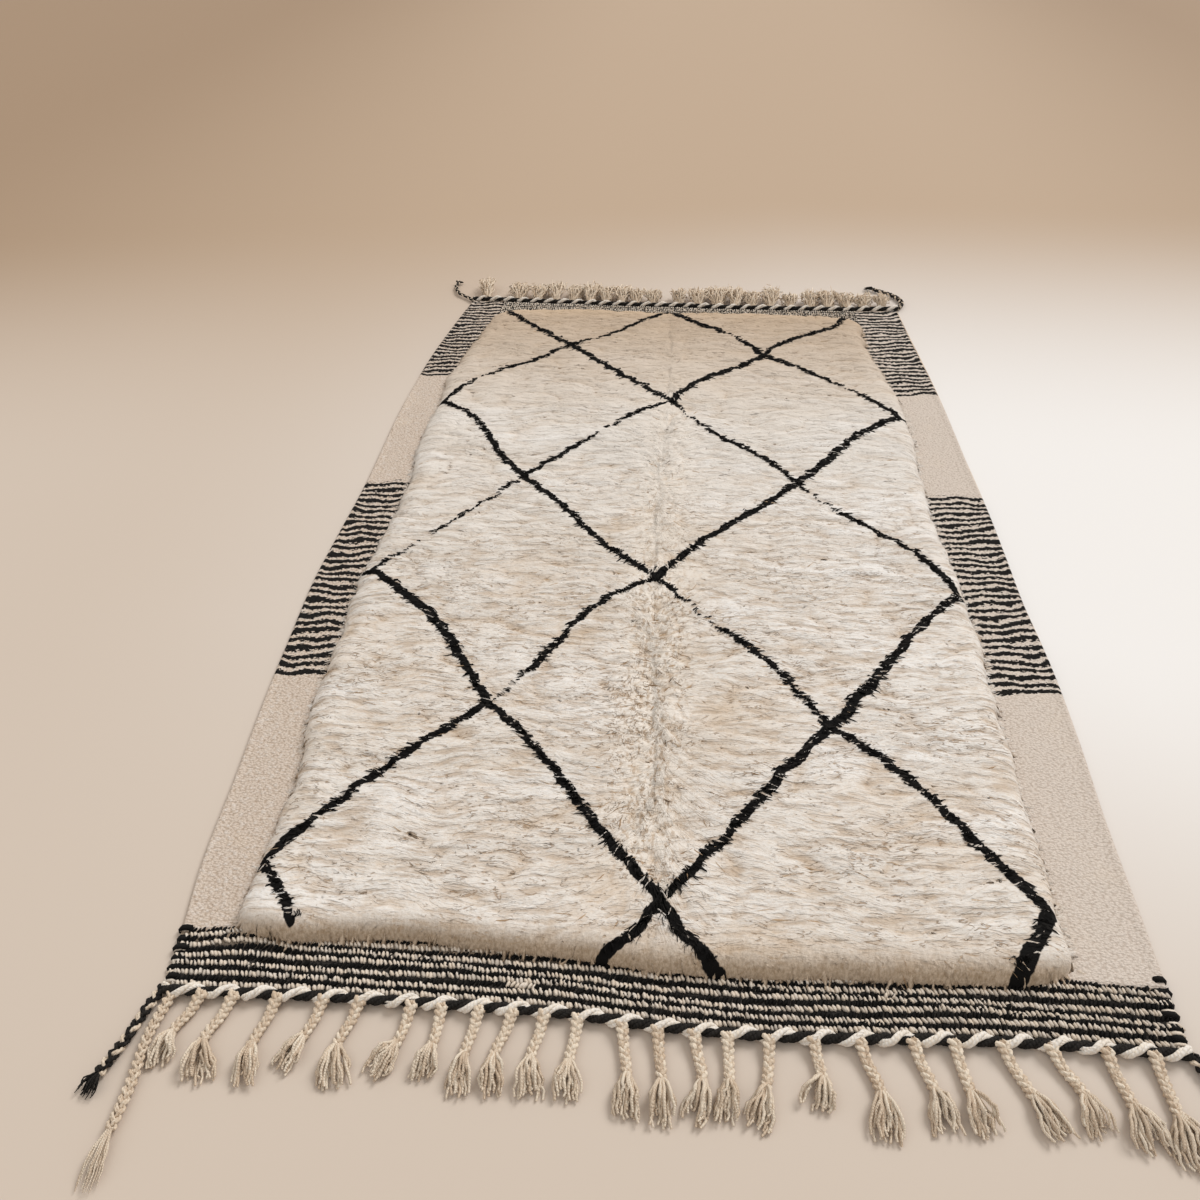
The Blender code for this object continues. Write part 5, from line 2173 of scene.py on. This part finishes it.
class RUG_OT_cords(bpy.types.Operator):
    """Twine the cords along both ends"""

    bl_idname = "rug.cords"
    bl_label = "Twine Cords"

    def execute(self, context):
        colours = scene_settings("rug_colours")
        tree = strand_tree()
        black = yarn_wool("black_cord_wool", colours.black, colours.charcoal)
        ivory = yarn_wool("ivory_cord_wool", colours.yarn, colours.pale)
        for end, outward, turns in (("near", -1, NEAR_TURNS), ("far", 1, FAR_TURNS)):
            cord = end + "_cord"
            path = cord_path(ENDS[end + "_woven"], outward)
            length = np.hypot(*np.diff(path[:, :2], axis=0).T).sum()
            for ending, phase, material, slot, replaced, lift, swing, bob, thickness in (
                ("_black", 0.0, black, cord, [cord], 0.0014, 0.0014, 0.0006, 1.36),
                ("_ivory", 0.5, ivory, "near_fringe", (), 0.0026, 0.0046, 0.0036, 1.22),
            ):
                values = {
                    "Strands": 1, "First Phase": phase, "Phase Step": 0.0,
                    "Turn Length": length / turns, "Lobes": 1.0, "Half Width": swing,
                    "Half Height": bob, "Plies": 3, "Ply Offset": PLY * thickness,
                    "Ply Turn Length": 0.034, "Yarn Radius": PLY_RADIUS * thickness, "Sides": 6,
                    "Spacing": 0.0036, "Material": material,
                }
                paths = [(path + np.array((0.0, 0.0, lift)), 1.0)]
                make(cord + ending, paths, tree, values, replaced)
        return {"FINISHED"}


class RUG_OT_fringes(bpy.types.Operator):
    """Plait the near fringe, open its tassels and comb out the far fringe"""

    bl_idname = "rug.fringes"
    bl_label = "Make Fringes"

    def execute(self, context):
        fringe, colours = scene_settings("rug_fringe"), scene_settings("rug_colours")
        yarn = yarn_wool("fringe_wool", colours.yarn, colours.yarn_worn)
        tuft = yarn_wool("tuft_wool", colours.tuft, colours.tuft_worn)
        plaits, tassels = near_paths()
        values = PLAIT | {
            "Strands": 3, "First Phase": 0.0, "Turn Length": fringe.plait_turn,
            "Half Width": 0.0037, "Half Height": 0.0018, "Ply Offset": 0.0010,
            "Ply Turn Length": 0.016, "Yarn Radius": fringe.yarn_radius, "Material": yarn,
        }
        make("near_plaits", plaits, strand_tree(), values, ["near_fringe"])
        tree = tassel_tree()
        common = {"Tip Share": 0.70, "Seed": 81}
        values = common | {
            "Strands": fringe.tassel_strands, "Spread": 0.0160, "Height": 0.0125, "Wave": 0.015,
            "Yarn Radius": 0.0019, "Sides": 4, "Points": 8, "Material": yarn,
        }
        make("near_tassels", tassels, tree, values)
        values = common | {
            "Strands": fringe.tuft_strands, "Spread": 0.0235, "Height": 0.0200, "Wave": 0.060,
            "Yarn Radius": 0.0014, "Sides": 3, "Points": 7, "Material": tuft,
        }
        make("far_tufts", far_paths(), tree, values, ["far_fringe"])
        return {"FINISHED"}


class RUG_OT_corners(bpy.types.Operator):
    """Plait the tails at the rug's corners"""

    bl_idname = "rug.corners"
    bl_label = "Plait Corners"

    def execute(self, context):
        colours = scene_settings("rug_colours")
        black = yarn_wool("black_tail_wool", colours.black, colours.charcoal)
        ivory = yarn_wool("ivory_tail_wool", colours.yarn, colours.yarn_worn)
        strands, fan = strand_tree(), tassel_tree()
        for name, (thickness, end_reach, route) in CORNER_ROUTES.items():
            way = rounded([(x, y, TAIL_HEIGHT) for x, y in route], 40)
            makings = [("_black", 2, 0.0, black), ("_ivory", 1, 2 / 3, ivory)]
            if name in IVORY_TAILS:
                makings = [("_ivory", 3, 0.0, ivory)]
            replaced = [name]
            for ending, count, phase, material in makings:
                values = PLAIT | {
                    "Strands": count, "First Phase": phase, "Turn Length": 0.027,
                    "Half Width": 0.0042, "Half Height": 0.0020, "Ply Offset": 0.0012,
                    "Ply Turn Length": 0.020, "Yarn Radius": 0.0018, "Material": material,
                }
                make(name + ending, [(way, thickness)], strands, values, replaced)
                replaced = ()
            values = {
                "Strands": 22, "Spread": 0.011, "Height": 0.0060, "Wave": 0.008,
                "Yarn Radius": 0.0011, "Sides": 4, "Points": 8, "Tip Share": 0.4, "Seed": 91,
                "Material": makings[0][3],
            }
            make(name + "_end", [(open_end(way, end_reach), 1.0)], fan, values)
        return {"FINISHED"}


class RUG_OT_declare(bpy.types.Operator):
    bl_idname = "rug.declare"
    bl_label = "Declare Sheet"

    def execute(self, context):
        return {"FINISHED"}


class RUG_PT_panel(bpy.types.Panel):
    """The rug's settings and the steps that make it"""

    bl_idname = "RUG_PT_panel"
    bl_label = "Lozenge Pile Rug"
    bl_space_type = "VIEW_3D"
    bl_region_type = "UI"
    bl_category = "Rug"

    def draw(self, context):
        layout = self.layout
        for name, group in SETTINGS.items():
            box = layout.box()
            for field in group.__annotations__:
                box.prop(getattr(context.scene, name), field)
        for operator in OPERATORS:
            layout.operator(operator.bl_idname)


OPERATORS = (
    RUG_OT_stage,
    RUG_OT_borders,
    RUG_OT_pile,
    RUG_OT_cords,
    RUG_OT_fringes,
    RUG_OT_corners,
    RUG_OT_declare,
)


def register():
    for group in (*SETTINGS.values(), *OPERATORS, RUG_PT_panel):
        bpy.utils.register_class(group)
    for name, group in SETTINGS.items():
        setattr(bpy.types.Scene, name, bpy.props.PointerProperty(type=group))


def unregister():
    for name in SETTINGS:
        delattr(bpy.types.Scene, name)
    for group in reversed((*SETTINGS.values(), *OPERATORS, RUG_PT_panel)):
        bpy.utils.unregister_class(group)


def main():
    """Makes the whole rug and its stage."""
    register()
    for operator in OPERATORS:
        group, name = operator.bl_idname.split(".")
        getattr(getattr(bpy.ops, group), name)()
    boxes = {"cad": CAD_BOX, "visual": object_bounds()}
    boxes = {name: [list(corner) for corner in box] for name, box in boxes.items()}


if __name__ == "__main__":
    main()
